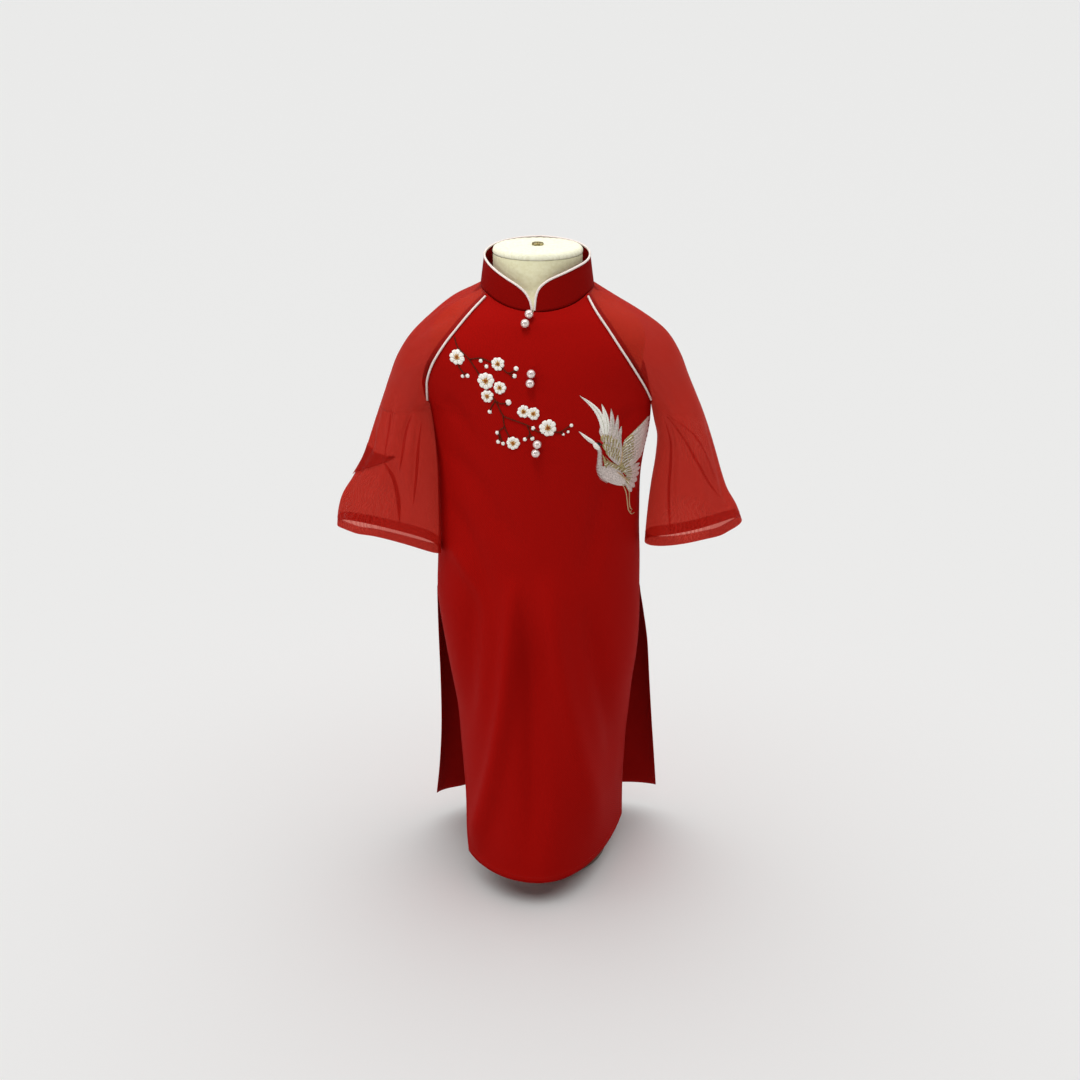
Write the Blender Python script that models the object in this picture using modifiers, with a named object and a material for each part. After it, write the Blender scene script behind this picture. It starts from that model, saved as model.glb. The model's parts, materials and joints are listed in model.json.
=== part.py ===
"""Child's ao dai tunic on a limbless dress form.

Frame: metres, +Z up, the front faces -Y. The origin is the middle of the
stand base's underside, straight below the middle of the torso. "Left" and
"right" are those of someone who looks at the front, so left is -X.
Tables hold millimetres and degrees, and MM turns them to metres.
"""
import math

import bmesh
import bpy
from mathutils import Vector

MM = 0.001

# Cloth and seams
CREPE_WALL = 1.2
ORGANZA_WALL = 1.0
SEAM_HALF_GAP = 0.2
CLEARANCE = 0.35
PIPING_RADIUS = 1.25
COLLAR_EDGE_GAP = 0.55
PIPING_INSET = 2.0

# How finely the cloth is divided
FRONT_COLUMNS = 20
BACK_COLUMNS = 16
SLEEVE_COLUMNS = 20
COLLAR_ROWS = 3
FINE_STEPS = 2

# Neck ring that the collar stands on
NECK_X = -1.0
NECK_Y = -23.0
NECK_HALF_WIDTH = 62.5
NECK_HALF_DEPTH = 66.5
COLLAR_LEAN = 6.0
COLLAR_LEAN_HEIGHT = 46.0
COLLAR_V_ANGLE = -4.0

# Height of the neck seam, by angle from the front
NECK_SEAM = (
    ("angle", "height"),
    (0, 704.0),
    (27, 707.5),
    (43, 711.8),
    (60, 717.3),
    (90, 720.6),
    (120, 722.6),
    (150, 724.2),
    (180, 724.8),
)

# Middle line of the piping on the collar's edge, from the V at the front to
# the middle of the back; angles are counted from the V
COLLAR_EDGE = (
    ("left_angle", "left_height", "right_angle", "right_height"),
    (1.25, 705.6, 1.25, 705.6),
    (2.1, 711.0, 1.8, 712.5),
    (3.8, 716.5, 2.7, 719.5),
    (8.5, 724.2, 4.9, 726.5),
    (17.6, 731.2, 9.6, 732.4),
    (31.0, 737.4, 18.5, 738.0),
    (48.0, 744.0, 33.6, 743.0),
    (65.0, 749.2, 52.0, 747.5),
    (80.0, 752.0, 72.0, 750.6),
    (100.0, 755.0, 96.0, 754.0),
    (140.0, 759.2, 138.0, 758.8),
    (180.0, 761.0, 180.0, 761.0),
)

# Front panel: a row for each level. The edge is the raglan seam down to the
# armpit, then the side seam down to the slit, then the slit's own hem.
FRONT = (
    ("edge_height", "mid_height", "left_x", "right_x", "left_y", "right_y", "mid_y", "edge_angle"),
    (717.0, 703.7, 55.5, 53.5, -56, -56, -89.5, 60),
    (702.0, 692.0, 73.0, 63.5, -71, -71, -97.5, 52),
    (685.0, 677.0, 89.0, 76.0, -80, -79, -104.0, 50),
    (665.0, 660.0, 105.0, 89.5, -84, -83, -110.0, 50),
    (642.0, 640.0, 117.5, 103.5, -78, -78, -115.0, 56),
    (617.0, 617.0, 123.0, 116.5, -63, -63, -119.0, 66),
    (597.0, 597.0, 123.0, 124.5, -47, -47, -121.5, 77),
    (583.0, 583.0, 121.5, 127.0, -25, -25, -123.0, 90),
    (560.0, 560.0, 118.5, 125.5, -25, -25, -124.0, 90),
    (530.0, 530.0, 116.0, 120.0, -25, -25, -125.0, 90),
    (500.0, 500.0, 115.0, 116.6, -25, -25, -125.5, 90),
    (450.0, 450.0, 115.0, 116.5, -25, -25, -126.0, 90),
    (405.0, 405.0, 116.5, 118.0, -25, -25, -127.0, 90),
    (365.0, 365.0, 118.0, 118.5, -25, -25, -128.0, 90),
    (325.0, 325.0, 114.5, 119.0, -22, -21, -129.0, 90),
    (280.0, 280.0, 108.5, 117.5, -16, -13, -130.5, 90),
    (234.0, 234.0, 102.5, 113.0, -12, -4, -132.0, 87),
    (180.0, 180.0, 95.3, 110.0, -18, 6, -134.0, 80),
    (120.0, 120.0, 89.3, 106.0, -38, 15, -137.0, 72),
    (72.0, 72.0, 86.0, 105.0, -55, 21, -139.0, 66),
    (30.0, 30.0, 84.6, 105.5, -66, 24, -140.0, 60),
)

# Back panel, in the same way
BACK = (
    ("edge_height", "mid_height", "left_x", "right_x", "left_y", "right_y", "mid_y", "edge_angle"),
    (722.3, 724.5, 51.0, 51.0, 14, 14, 43.3, 55),
    (705.0, 709.0, 66.0, 63.0, 28, 28, 56.0, 52),
    (685.0, 690.0, 82.0, 78.0, 34, 34, 64.0, 50),
    (665.0, 668.0, 97.0, 93.0, 38, 38, 68.5, 50),
    (642.0, 643.0, 110.0, 106.5, 32, 32, 71.5, 56),
    (617.0, 617.0, 119.0, 118.0, 17, 17, 73.0, 66),
    (597.0, 597.0, 122.0, 124.5, -1, -1, 73.5, 77),
    (583.0, 583.0, 121.5, 127.0, -25, -25, 73.0, 90),
    (560.0, 560.0, 118.5, 125.5, -25, -25, 71.5, 90),
    (530.0, 530.0, 116.0, 120.0, -25, -25, 68.0, 90),
    (500.0, 500.0, 115.0, 116.6, -25, -25, 65.0, 90),
    (450.0, 450.0, 115.0, 116.5, -25, -25, 66.0, 90),
    (405.0, 405.0, 116.5, 118.0, -25, -25, 70.0, 90),
    (365.0, 365.0, 118.0, 118.5, -25, -25, 75.0, 90),
    (325.0, 325.0, 118.8, 124.5, -15, -14, 80.0, 90),
    (280.0, 280.0, 119.2, 131.0, -1, 2, 86.0, 88),
    (220.0, 220.0, 119.5, 136.0, 18, 24, 93.0, 86),
    (150.0, 150.0, 121.0, 142.0, 37, 48, 101.0, 84),
    (90.0, 90.0, 125.0, 147.5, 51, 67, 108.0, 82),
    (39.0, 29.0, 130.5, 152.0, 60, 82, 114.0, 80),
)
ARMPIT_ROW = 7

# Half depth of the sleeve's oval one row above the armpit
UNDERARM_DEPTH = 41.13

# Sleeve above the armpit, at the panels' own levels: its outermost line, and
# where on its oval section the seams lie
RAGLAN = (
    ("left_x", "right_x", "y", "height", "start_angle"),
    (61.5, 59.5, -22, 720.2, 57),
    (94.0, 87.0, -22, 704.0, 50),
    (117.5, 117.5, -22, 686.0, 42),
    (140.0, 143.0, -22, 666.0, 18),
    (156.0, 158.5, -22, 642.0, -8),
    (166.0, 168.5, -22, 617.0, -27),
    (173.0, 177.0, -23, 597.0, -56),
    (178.0, 183.0, -25, 583.0, -90),
)

# Sleeves below the armpit, oval tubes. A hem may hang higher in front and lower
# behind than at its sides.
TUBE = {
    "left": (
        ("inner_height", "outer_height", "inner_x", "outer_x", "y", "half_depth", "front_lift",
         "back_drop"),
        (583, 583, 121.5, 178.0, -25, 40.0, 0.0, 0.0),
        (566, 566, 120.8, 184.0, -33, 40.5, 0.0, 0.0),
        (545, 547, 117.8, 190.5, -42, 41.0, 1.0, 0.5),
        (518, 526, 115.0, 198.0, -48, 41.0, 2.5, 1.0),
        (492, 506, 114.0, 209.0, -52, 41.0, 4.5, 2.0),
        (467, 487, 113.6, 221.0, -54, 41.0, 7.0, 3.5),
        (443, 469, 113.3, 226.5, -55, 40.5, 9.5, 5.0),
        (420, 451, 113.0, 228.5, -56, 40.0, 12.0, 6.0),
    ),
    "right": (
        ("inner_height", "outer_height", "inner_x", "outer_x", "y", "half_depth", "front_lift",
         "back_drop"),
        (583, 583, 127.0, 183.0, -25, 40.0, 0.0, 0.0),
        (566, 566, 130.5, 189.5, -27, 40.0, 0.0, 0.5),
        (545, 547, 134.5, 196.0, -29, 39.5, 0.0, 1.5),
        (520, 526, 132.5, 202.5, -32, 39.0, 0.0, 3.5),
        (495, 506, 128.5, 208.5, -36, 38.5, 0.0, 6.0),
        (470, 487, 125.5, 215.5, -39, 38.0, 0.0, 8.5),
        (447, 469, 123.5, 226.0, -41, 37.0, 0.0, 11.0),
        (424, 451, 122.0, 233.0, -42, 36.0, 0.0, 14.0),
    ),
}

# Soft folds in the front and back panels, as ridges that run down the cloth
FRONT_FOLDS = (
    ("top_height", "top_x", "hem_x", "rise", "half_width"),
    (420, -33, -92, 3.6, 17),
    (420, 2, 92, 4.0, 21),
    (400, -14, -20, -2.8, 22),
)
BACK_FOLDS = (
    ("top_height", "top_x", "hem_x", "rise", "half_width"),
    (520, -42, -66, 3.0, 24),
    (540, 34, 52, 3.4, 24),
)

# Folds of the sleeves, as ridges round the tube's oval
SLEEVE_FOLDS = (
    ("top_row", "hem_row", "top_angle", "hem_angle", "rise", "half_width"),
    (6.0, 14.0, 10, 30, 2.6, 13),
    (7.0, 14.0, 70, 62, -2.2, 12),
    (6.5, 14.0, 130, 118, 2.4, 14),
)

# Buttons, three pairs down the front
PEARL_RADIUS = 4.65
PEARLS = (
    ("x", "height"),
    (-9.4, 700.2),
    (-13.6, 692.0),
    (-7.4, 642.8),
    (-8.5, 633.0),
    (-1.1, 568.0),
    (-2.7, 558.2),
)

# Dress form
FORM_X = -0.5
FORM_SIDES = 28
FORM = (
    ("height", "half_width", "front_y", "back_y"),
    (300, 92, -98, 44),
    (306, 98, -105, 50),
    (330, 104, -112, 56),
    (380, 108, -117, 60),
    (450, 107, -118, 56),
    (500, 106, -119, 56),
    (550, 108, -119, 61),
    (590, 110, -118, 66),
    (617, 114, -115, 68),
    (640, 118, -111, 67),
    (658, 120, -106, 65),
    (672, 117, -101, 60.5),
    (684, 108, -96, 54),
    (694, 96, -92, 49.5),
    (703, 81, -87, 45),
    (710, 67, -81, 39),
    (717, 56.5, -76, 32),
    (726, 51, -72.5, 27.5),
    (740, 49.3, -71.3, 26.7),
    (755, 49, -71, 26),
)
CAP_RADIUS = 49.3
CAP_BOTTOM = 755.3
CAP_TOP = 763.0
CAP_ROUNDING = 3.0
FITTING_RADIUS = 6.5
FITTING_HOLE = 2.6
FITTING_HEIGHT = 2.4

# Stand
POLE_RADIUS = 12.5
BASE_RADIUS = 84.0
BASE_HEIGHT = 22.0
BASE_PROFILE = (
    ("radius", "height"),
    (0.0, BASE_HEIGHT),
    (20.0, BASE_HEIGHT),
    (22.0, BASE_HEIGHT - 1.2),
    (24.0, BASE_HEIGHT - 5.0),
    (34.0, BASE_HEIGHT - 7.2),
    (56.0, BASE_HEIGHT - 9.0),
    (74.0, BASE_HEIGHT - 10.4),
    (80.5, BASE_HEIGHT - 12.2),
    (83.4, BASE_HEIGHT - 15.0),
    (BASE_RADIUS, 4.0),
    (82.6, 1.0),
    (81.0, 0.0),
    (0.0, 0.0),
)

COLOURS = {
    "crepe": ((0.28, 0.006, 0.006), 0.75, 0.0),
    "organza": ((0.50, 0.020, 0.016), 0.6, 0.0),
    "piping": ((0.82, 0.76, 0.72), 0.5, 0.0),
    "pearl": ((0.80, 0.74, 0.70), 0.22, 0.0),
    "linen": ((0.62, 0.58, 0.40), 0.85, 0.0),
    "cap": ((0.86, 0.86, 0.74), 0.7, 0.0),
    "brass": ((0.55, 0.40, 0.15), 0.35, 1.0),
    "wood": ((0.14, 0.06, 0.03), 0.5, 0.0),
}


def clear_scene():
    for thing in list(bpy.data.objects):
        bpy.data.objects.remove(thing, do_unlink=True)


def make_collection(name):
    collection = bpy.data.collections.new(name)
    bpy.context.scene.collection.children.link(collection)
    return collection


def make_material(name, finish):
    colour, roughness, metallic = COLOURS[finish]
    material = bpy.data.materials.new(name)
    material.use_nodes = True
    shader = material.node_tree.nodes["Principled BSDF"]
    shader.inputs["Base Color"].default_value = (*colour, 1.0)
    shader.inputs["Roughness"].default_value = roughness
    shader.inputs["Metallic"].default_value = metallic
    return material


def column(table, name):
    place = table[0].index(name)
    return [row[place] for row in table[1:]]


def slope_at(before, here, after):
    """Slope of a curve where it passes a value, level at a peak or beside a flat stretch."""
    if (here - before) * (after - here) > 0:
        return (after - before) / 2
    return 0.0


def smooth_at(values, t):
    """Soft curve through evenly numbered values, read at row t."""
    last = len(values) - 1
    t = min(max(t, 0.0), float(last))
    i = min(int(t), last - 1)
    f = t - i
    before = values[i - 1] if i > 0 else 2 * values[i] - values[i + 1]
    after = values[i + 2] if i + 2 <= last else 2 * values[i + 1] - values[i]
    a, b = values[i], values[i + 1]
    slope_a = slope_at(before, a, b)
    slope_b = slope_at(a, b, after)
    return (
        a * (2 * f**3 - 3 * f**2 + 1)
        + b * (3 * f**2 - 2 * f**3)
        + slope_a * (f**3 - 2 * f**2 + f)
        + slope_b * (f**3 - f**2)
    )


def row_steps(last_row):
    """Where the cloth's rows lie: finer down to the armpit, then one a section."""
    fine = [i / FINE_STEPS for i in range(ARMPIT_ROW * FINE_STEPS)]
    return fine + list(range(ARMPIT_ROW, last_row + 1))


def row_at(table, t):
    """Every column of a table at row t, as a dictionary."""
    return {name: smooth_at(column(table, name), t) for name in table[0]}


def height_between(table, key, value, angle):
    """Straight reading of a two-column table."""
    keys, values = column(table, key), column(table, value)
    for i in range(len(keys) - 1):
        if angle <= keys[i + 1]:
            part = (angle - keys[i]) / (keys[i + 1] - keys[i])
            return values[i] + part * (values[i + 1] - values[i])
    return values[-1]


def bell(distance, half_width):
    return math.exp(-((distance / half_width) ** 2))


def panel_point(table, folds, side, across, t):
    """A point of the front or back panel.

    across runs from -1 at the left edge to 1 at the right edge, t counts the
    table's rows, and side is 1 where the panel bulges to -Y and -1 to +Y.
    """
    row = row_at(table, t)
    edge_angle = math.radians(row["edge_angle"])
    angle = abs(across) * edge_angle
    hand = "left" if across < 0 else "right"
    outward = -1.0 if across < 0 else 1.0
    round_part = (1 - math.cos(angle)) / (1 - math.cos(edge_angle))
    x = outward * row[hand + "_x"] * math.sin(angle) / math.sin(edge_angle)
    y = row["mid_y"] + (row[hand + "_y"] - row["mid_y"]) * round_part
    z = row["mid_height"] + (row["edge_height"] - row["mid_height"]) * round_part
    hem = table[-1][0]
    for top_height, top_x, hem_x, rise, half_width in folds[1:]:
        down = (top_height - z) / (top_height - hem)
        if down > 0:
            middle = top_x + (hem_x - top_x) * down
            grown = min(1.0, down * 2.5)
            lift = rise * grown * bell(x - middle, half_width)
            y -= side * lift * math.cos(angle)
            x += outward * lift * math.sin(angle)
    return Vector((x, y, z))


def front_point(across, t):
    return panel_point(FRONT, FRONT_FOLDS, 1, across, t)


def back_point(across, t):
    return panel_point(BACK, BACK_FOLDS, -1, across, t)


def front_spot(x, height):
    """The front panel's point at a given x and height, and its outward normal."""
    across, t = x / 100.0, 3.0
    for _ in range(60):
        point = front_point(across, t)
        across += (x - point.x) / 150.0
        t += (point.z - height) / 40.0
    step = 0.01
    along_x = front_point(across + step, t) - front_point(across - step, t)
    along_t = front_point(across, t + step) - front_point(across, t - step)
    return front_point(across, t), along_t.cross(along_x).normalized()


def inset_across(point_at, t, distance):
    """How far short of 1 a panel's edge stops, to leave a gap at its seam."""
    step = 0.02
    width = (point_at(1.0, t) - point_at(1.0 - step, t)).length / step
    return distance / width


def sleeve_point(hand, around, t):
    """A point of a sleeve: around runs from 0 at the front seam to 1 at the back one."""
    outward = -1.0 if hand == "left" else 1.0
    tube = TUBE[hand]
    front_lift = 0.0
    back_drop = 0.0
    if t <= ARMPIT_ROW:
        front, back, ridge_row = row_at(FRONT, t), row_at(BACK, t), row_at(RAGLAN, t)
        start = Vector((outward * front[hand + "_x"], front[hand + "_y"], front["edge_height"]))
        end = Vector((outward * back[hand + "_x"], back[hand + "_y"], back["edge_height"]))
        ridge = Vector((outward * ridge_row[hand + "_x"], ridge_row["y"], ridge_row["height"]))
        angle_a = math.radians(ridge_row["start_angle"])
        middle = (start + end) / 2
        half_chord = (start - end) / 2
        under = t - (ARMPIT_ROW - 1)
        if under > 0:
            depth = UNDERARM_DEPTH + (column(tube, "half_depth")[0] - UNDERARM_DEPTH) * under
            angle_a = -math.acos(min(1.0, half_chord.length / depth))
    else:
        row = row_at(tube, t - ARMPIT_ROW)
        front_lift = row["front_lift"]
        back_drop = row["back_drop"]
        start = Vector((outward * row["inner_x"], row["y"], row["inner_height"]))
        ridge = Vector((outward * row["outer_x"], row["y"], row["outer_height"]))
        angle_a = math.radians(-90)
        middle = start
        half_chord = Vector((0, 0, 0))
    if half_chord.length > 0.5:
        forward = half_chord / math.cos(angle_a)
    else:
        forward = Vector((0, -row_at(tube, t - ARMPIT_ROW)["half_depth"], 0))
    across = (ridge - middle) / (1 - math.sin(angle_a))
    centre = ridge - across
    angle = angle_a + (math.pi - 2 * angle_a) * around
    grow = 0.0
    for top_row, hem_row, top_angle, hem_angle, rise, half_width in SLEEVE_FOLDS[1:]:
        down = (t - top_row) / (hem_row - top_row)
        if down > 0:
            middle_angle = top_angle + (hem_angle - top_angle) * down
            grow += rise * min(1.0, down * 2) * bell(math.degrees(angle) - middle_angle, half_width)
    slant = front_lift * max(0.0, math.cos(angle)) ** 2 - back_drop * min(0.0, math.cos(angle)) ** 2
    return (
        centre
        + forward * math.cos(angle) * (1 + grow / forward.length)
        + across * math.sin(angle) * (1 + grow / across.length)
        + Vector((0, 0, slant))
    )


def neck_point(angle, height):
    """A point of the collar's outer face, by angle from the front and height."""
    base = height_between(NECK_SEAM, "angle", "height", min(abs(angle), 360 - abs(angle)))
    lean = COLLAR_LEAN * max(0.0, height - base) / COLLAR_LEAN_HEIGHT
    turn = math.radians(angle)
    return Vector((
        NECK_X + (NECK_HALF_WIDTH - lean) * math.sin(turn),
        NECK_Y - (NECK_HALF_DEPTH - lean) * math.cos(turn),
        height,
    ))


def collar_edge_line():
    """The piping's line round the collar, as (angle, height) from V to V."""
    rows = len(COLLAR_EDGE) - 1
    steps = [i / FINE_STEPS for i in range((rows - 1) * FINE_STEPS + 1)]
    left = []
    right = []
    for t in steps:
        row = row_at(COLLAR_EDGE, t)
        left.append((COLLAR_V_ANGLE - row["left_angle"], row["left_height"]))
        right.append((COLLAR_V_ANGLE + row["right_angle"] - 360, row["right_height"]))
    return left + right[-2::-1]


def offset_line(line, distance):
    """The same line moved down and away from the V, by a distance in millimetres."""
    arc = math.radians(1) * (NECK_HALF_WIDTH + NECK_HALF_DEPTH) / 2
    moved = []
    for i, (angle, height) in enumerate(line):
        before, after = line[max(i - 1, 0)], line[min(i + 1, len(line) - 1)]
        run = (after[0] - before[0]) * arc
        climb = after[1] - before[1]
        length = math.hypot(run, climb)
        moved.append((angle + distance * climb / length / arc * -1, height + distance * run / length))
    return moved


def make_sheet(name, columns, rows, point_at, wall, finish, collection, weld=False):
    """A grid shaped by point_at(i, j), thickened inwards by Solidify."""
    mesh = bpy.data.meshes.new(name)
    grid = bmesh.new()
    bmesh.ops.create_grid(grid, x_segments=columns, y_segments=rows, size=1.0)
    for vert in grid.verts:
        i = (vert.co.x + 1) / 2 * columns
        j = (1 - vert.co.y) / 2 * rows
        vert.co = point_at(i, j) * MM
    if weld:
        bmesh.ops.remove_doubles(grid, verts=grid.verts, dist=0.00001)
    grid.to_mesh(mesh)
    grid.free()
    mesh.shade_smooth()
    sheet = bpy.data.objects.new(name, mesh)
    sheet.data.materials.append(make_material(name + "_finish", finish))
    collection.objects.link(sheet)
    solidify = sheet.modifiers.new("wall", "SOLIDIFY")
    solidify.thickness = wall * MM
    solidify.offset = -1.0
    solidify.use_even_offset = False
    return sheet


def make_panel(name, table, point_at, columns, side, collection):
    steps = row_steps(len(table) - 2)

    def place(i, j):
        t = steps[round(j)]
        across = side * (2 * i / columns - 1)
        limit = 1 - inset_across(point_at, t, SEAM_HALF_GAP)
        return point_at(across * limit, t)

    return make_sheet(name, columns, len(steps) - 1, place, CREPE_WALL, "crepe", collection)


def make_sleeve(hand, collection):
    steps = row_steps(ARMPIT_ROW + len(TUBE[hand]) - 2)
    outward = -1.0 if hand == "left" else 1.0

    def place(i, j):
        t = steps[round(j)]
        around = i / SLEEVE_COLUMNS
        if hand == "left":
            around = 1 - around
        point = sleeve_point(hand, around, t)
        point.x += outward * CLEARANCE
        return point

    return make_sheet("sleeve_" + hand, SLEEVE_COLUMNS, len(steps) - 1, place, ORGANZA_WALL,
                      "organza", collection, weld=True)


def make_collar(collection):
    edge = offset_line(collar_edge_line(), PIPING_RADIUS + COLLAR_EDGE_GAP)

    def place(i, j):
        angle, top = edge[round(i)]
        base = height_between(NECK_SEAM, "angle", "height", min(abs(angle), 360 - abs(angle)))
        base += CLEARANCE
        return neck_point(angle, top + (base - top) * j / COLLAR_ROWS)

    return make_sheet("collar", len(edge) - 1, COLLAR_ROWS, place, CREPE_WALL, "crepe", collection)


def make_tube(name, points, radius, finish, collection):
    curve = bpy.data.curves.new(name, "CURVE")
    curve.dimensions = "3D"
    spline = curve.splines.new("POLY")
    spline.points.add(len(points) - 1)
    for place, point in zip(spline.points, points):
        place.co = (*(point * MM), 1.0)
    curve.bevel_depth = radius * MM
    curve.bevel_resolution = 1
    curve.use_fill_caps = True
    curve.materials.append(make_material(name + "_finish", finish))
    tube = bpy.data.objects.new(name, curve)
    collection.objects.link(tube)
    return tube


def make_collar_piping(collection):
    points = []
    for angle, height in collar_edge_line():
        point = neck_point(angle, height)
        middle = Vector((NECK_X, NECK_Y, height))
        inward = (middle - point).normalized() * CREPE_WALL / 2
        points.append(point + inward)
    return make_tube("collar_piping", points, PIPING_RADIUS, "piping", collection)


def make_raglan_piping(hand, first_row, last_row, steps, collection):
    outward = -1.0 if hand == "left" else 1.0
    points = []
    for i in range(steps + 1):
        t = first_row + (last_row - first_row) * i / steps
        across = outward * (1 - inset_across(front_point, t, PIPING_RADIUS + PIPING_INSET))
        step = 0.01
        along_x = front_point(across + step, t) - front_point(across - step, t)
        along_t = front_point(across, t + step) - front_point(across, t - step)
        normal = along_t.cross(along_x).normalized()
        points.append(front_point(across, t) + normal * (PIPING_RADIUS + CLEARANCE))
    return make_tube("piping_" + hand, points, PIPING_RADIUS, "piping", collection)


def make_pearls(collection):
    for number, (x, height) in enumerate(PEARLS[1:], 1):
        spot, normal = front_spot(x, height)
        mesh = bpy.data.meshes.new("pearl")
        ball = bmesh.new()
        bmesh.ops.create_uvsphere(ball, u_segments=12, v_segments=7, radius=PEARL_RADIUS * MM)
        ball.to_mesh(mesh)
        ball.free()
        mesh.shade_smooth()
        pearl = bpy.data.objects.new(f"pearl_{number}", mesh)
        pearl.data.materials.append(make_material(pearl.name + "_finish", "pearl"))
        pearl.location = (spot + normal * (PEARL_RADIUS + CLEARANCE)) * MM
        collection.objects.link(pearl)


def make_form(collection):
    """Torso and neck: oval sections joined from the flat bottom to the flat top."""
    rows = len(FORM) - 2
    mesh = bpy.data.meshes.new("dress_form")
    body = bmesh.new()
    bmesh.ops.create_grid(body, x_segments=FORM_SIDES, y_segments=rows, size=1.0)
    for vert in body.verts:
        turn = (vert.co.x + 1) * math.pi
        row = row_at(FORM, (vert.co.y + 1) / 2 * (len(FORM) - 2))
        depth = (row["back_y"] - row["front_y"]) / 2
        middle = (row["back_y"] + row["front_y"]) / 2
        vert.co = Vector((
            FORM_X + row["half_width"] * math.sin(turn),
            middle - depth * math.cos(turn),
            row["height"],
        )) * MM
    bmesh.ops.remove_doubles(body, verts=body.verts, dist=0.00001)
    bmesh.ops.holes_fill(body, edges=body.edges, sides=0)
    bmesh.ops.recalc_face_normals(body, faces=body.faces)
    body.to_mesh(mesh)
    body.free()
    mesh.shade_smooth()
    mesh.set_sharp_from_angle(angle=math.radians(50))
    form = bpy.data.objects.new("dress_form", mesh)
    form.data.materials.append(make_material("dress_form_finish", "linen"))
    collection.objects.link(form)


def make_turned(name, profile, place, sides, finish, collection, closed=False):
    """A profile of (radius, height) from the top down its outer side, turned about Z."""
    mesh = bpy.data.meshes.new(name)
    outline = bmesh.new()
    verts = [outline.verts.new((radius * MM, 0, height * MM)) for radius, height in profile]
    for a, b in zip(verts, verts[1:]):
        outline.edges.new((a, b))
    if closed:
        outline.edges.new((verts[-1], verts[0]))
    outline.to_mesh(mesh)
    outline.free()
    turned = bpy.data.objects.new(name, mesh)
    turned.data.materials.append(make_material(name + "_finish", finish))
    turned.location = Vector(place) * MM
    collection.objects.link(turned)
    screw = turned.modifiers.new("turn", "SCREW")
    screw.axis = "Z"
    screw.steps = sides
    screw.render_steps = sides
    screw.use_merge_vertices = True
    screw.merge_threshold = 0.0001
    screw.use_smooth_shade = True
    return turned


def make_neck_cap(collection):
    profile = [(0.0, CAP_TOP), (CAP_RADIUS - CAP_ROUNDING - 8, CAP_TOP - 0.2)]
    for i in range(5):
        turn = math.radians(90 - 22.5 * i)
        profile.append((
            CAP_RADIUS - CAP_ROUNDING + CAP_ROUNDING * math.cos(turn),
            CAP_TOP - 0.4 - CAP_ROUNDING + CAP_ROUNDING * math.sin(turn),
        ))
    profile.append((CAP_RADIUS, CAP_BOTTOM))
    profile.append((0.0, CAP_BOTTOM))
    make_turned("neck_cap", profile, (FORM_X, -22.5, 0), 28, "cap", collection)
    low = CAP_TOP + CLEARANCE
    washer = [
        (FITTING_HOLE, low + FITTING_HEIGHT),
        (FITTING_RADIUS - 0.8, low + FITTING_HEIGHT),
        (FITTING_RADIUS, low + FITTING_HEIGHT - 0.8),
        (FITTING_RADIUS, low),
        (FITTING_HOLE, low),
    ]
    make_turned("neck_fitting", washer, (FORM_X, -22.5, 0), 16, "brass", collection, closed=True)


def make_stand(collection):
    low, high = BASE_HEIGHT + CLEARANCE, FORM[1][0] - CLEARANCE
    pole = [(0.0, high), (POLE_RADIUS, high), (POLE_RADIUS, low), (0.0, low)]
    make_turned("stand_pole", pole, (0, 0, 0), 24, "wood", collection)
    make_turned("stand_base", BASE_PROFILE[1:], (0, 0, 0), 36, "wood", collection)


def main():
    clear_scene()
    collection = make_collection("ao_dai_tunic_on_dress_form")
    make_panel("front_panel", FRONT, front_point, FRONT_COLUMNS, 1, collection)
    make_panel("back_panel", BACK, back_point, BACK_COLUMNS, -1, collection)
    for hand in ("left", "right"):
        make_sleeve(hand, collection)
        make_raglan_piping(hand, 0.15, 6.1, 22, collection)
    make_collar(collection)
    make_collar_piping(collection)
    make_pearls(collection)
    make_form(collection)
    make_neck_cap(collection)
    make_stand(collection)


main()
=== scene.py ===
import json
import math

import bpy
import numpy as np
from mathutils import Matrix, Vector
from mathutils.bvhtree import BVHTree

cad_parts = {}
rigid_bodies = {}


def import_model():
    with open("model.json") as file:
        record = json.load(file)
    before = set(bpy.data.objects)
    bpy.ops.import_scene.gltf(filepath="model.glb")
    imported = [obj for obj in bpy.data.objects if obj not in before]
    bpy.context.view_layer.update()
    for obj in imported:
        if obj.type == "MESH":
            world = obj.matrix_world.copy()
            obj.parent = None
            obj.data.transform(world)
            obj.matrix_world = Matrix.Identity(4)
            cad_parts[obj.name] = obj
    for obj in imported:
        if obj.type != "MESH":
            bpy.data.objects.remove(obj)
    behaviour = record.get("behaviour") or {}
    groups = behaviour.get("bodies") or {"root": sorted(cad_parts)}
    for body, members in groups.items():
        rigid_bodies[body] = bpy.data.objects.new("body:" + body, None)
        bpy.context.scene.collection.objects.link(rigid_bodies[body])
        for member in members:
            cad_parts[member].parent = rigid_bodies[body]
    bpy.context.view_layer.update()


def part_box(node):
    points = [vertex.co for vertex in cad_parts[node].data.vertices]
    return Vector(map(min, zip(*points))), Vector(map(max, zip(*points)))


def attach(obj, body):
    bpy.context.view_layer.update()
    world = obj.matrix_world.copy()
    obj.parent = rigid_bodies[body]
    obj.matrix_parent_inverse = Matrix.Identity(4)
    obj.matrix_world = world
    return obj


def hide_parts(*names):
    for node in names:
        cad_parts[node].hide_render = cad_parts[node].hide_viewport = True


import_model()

mm = 0.001
sideOf = {"left": -1.0, "right": 1.0}  # the sign of x on each hand


# Helpers for shapes

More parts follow.
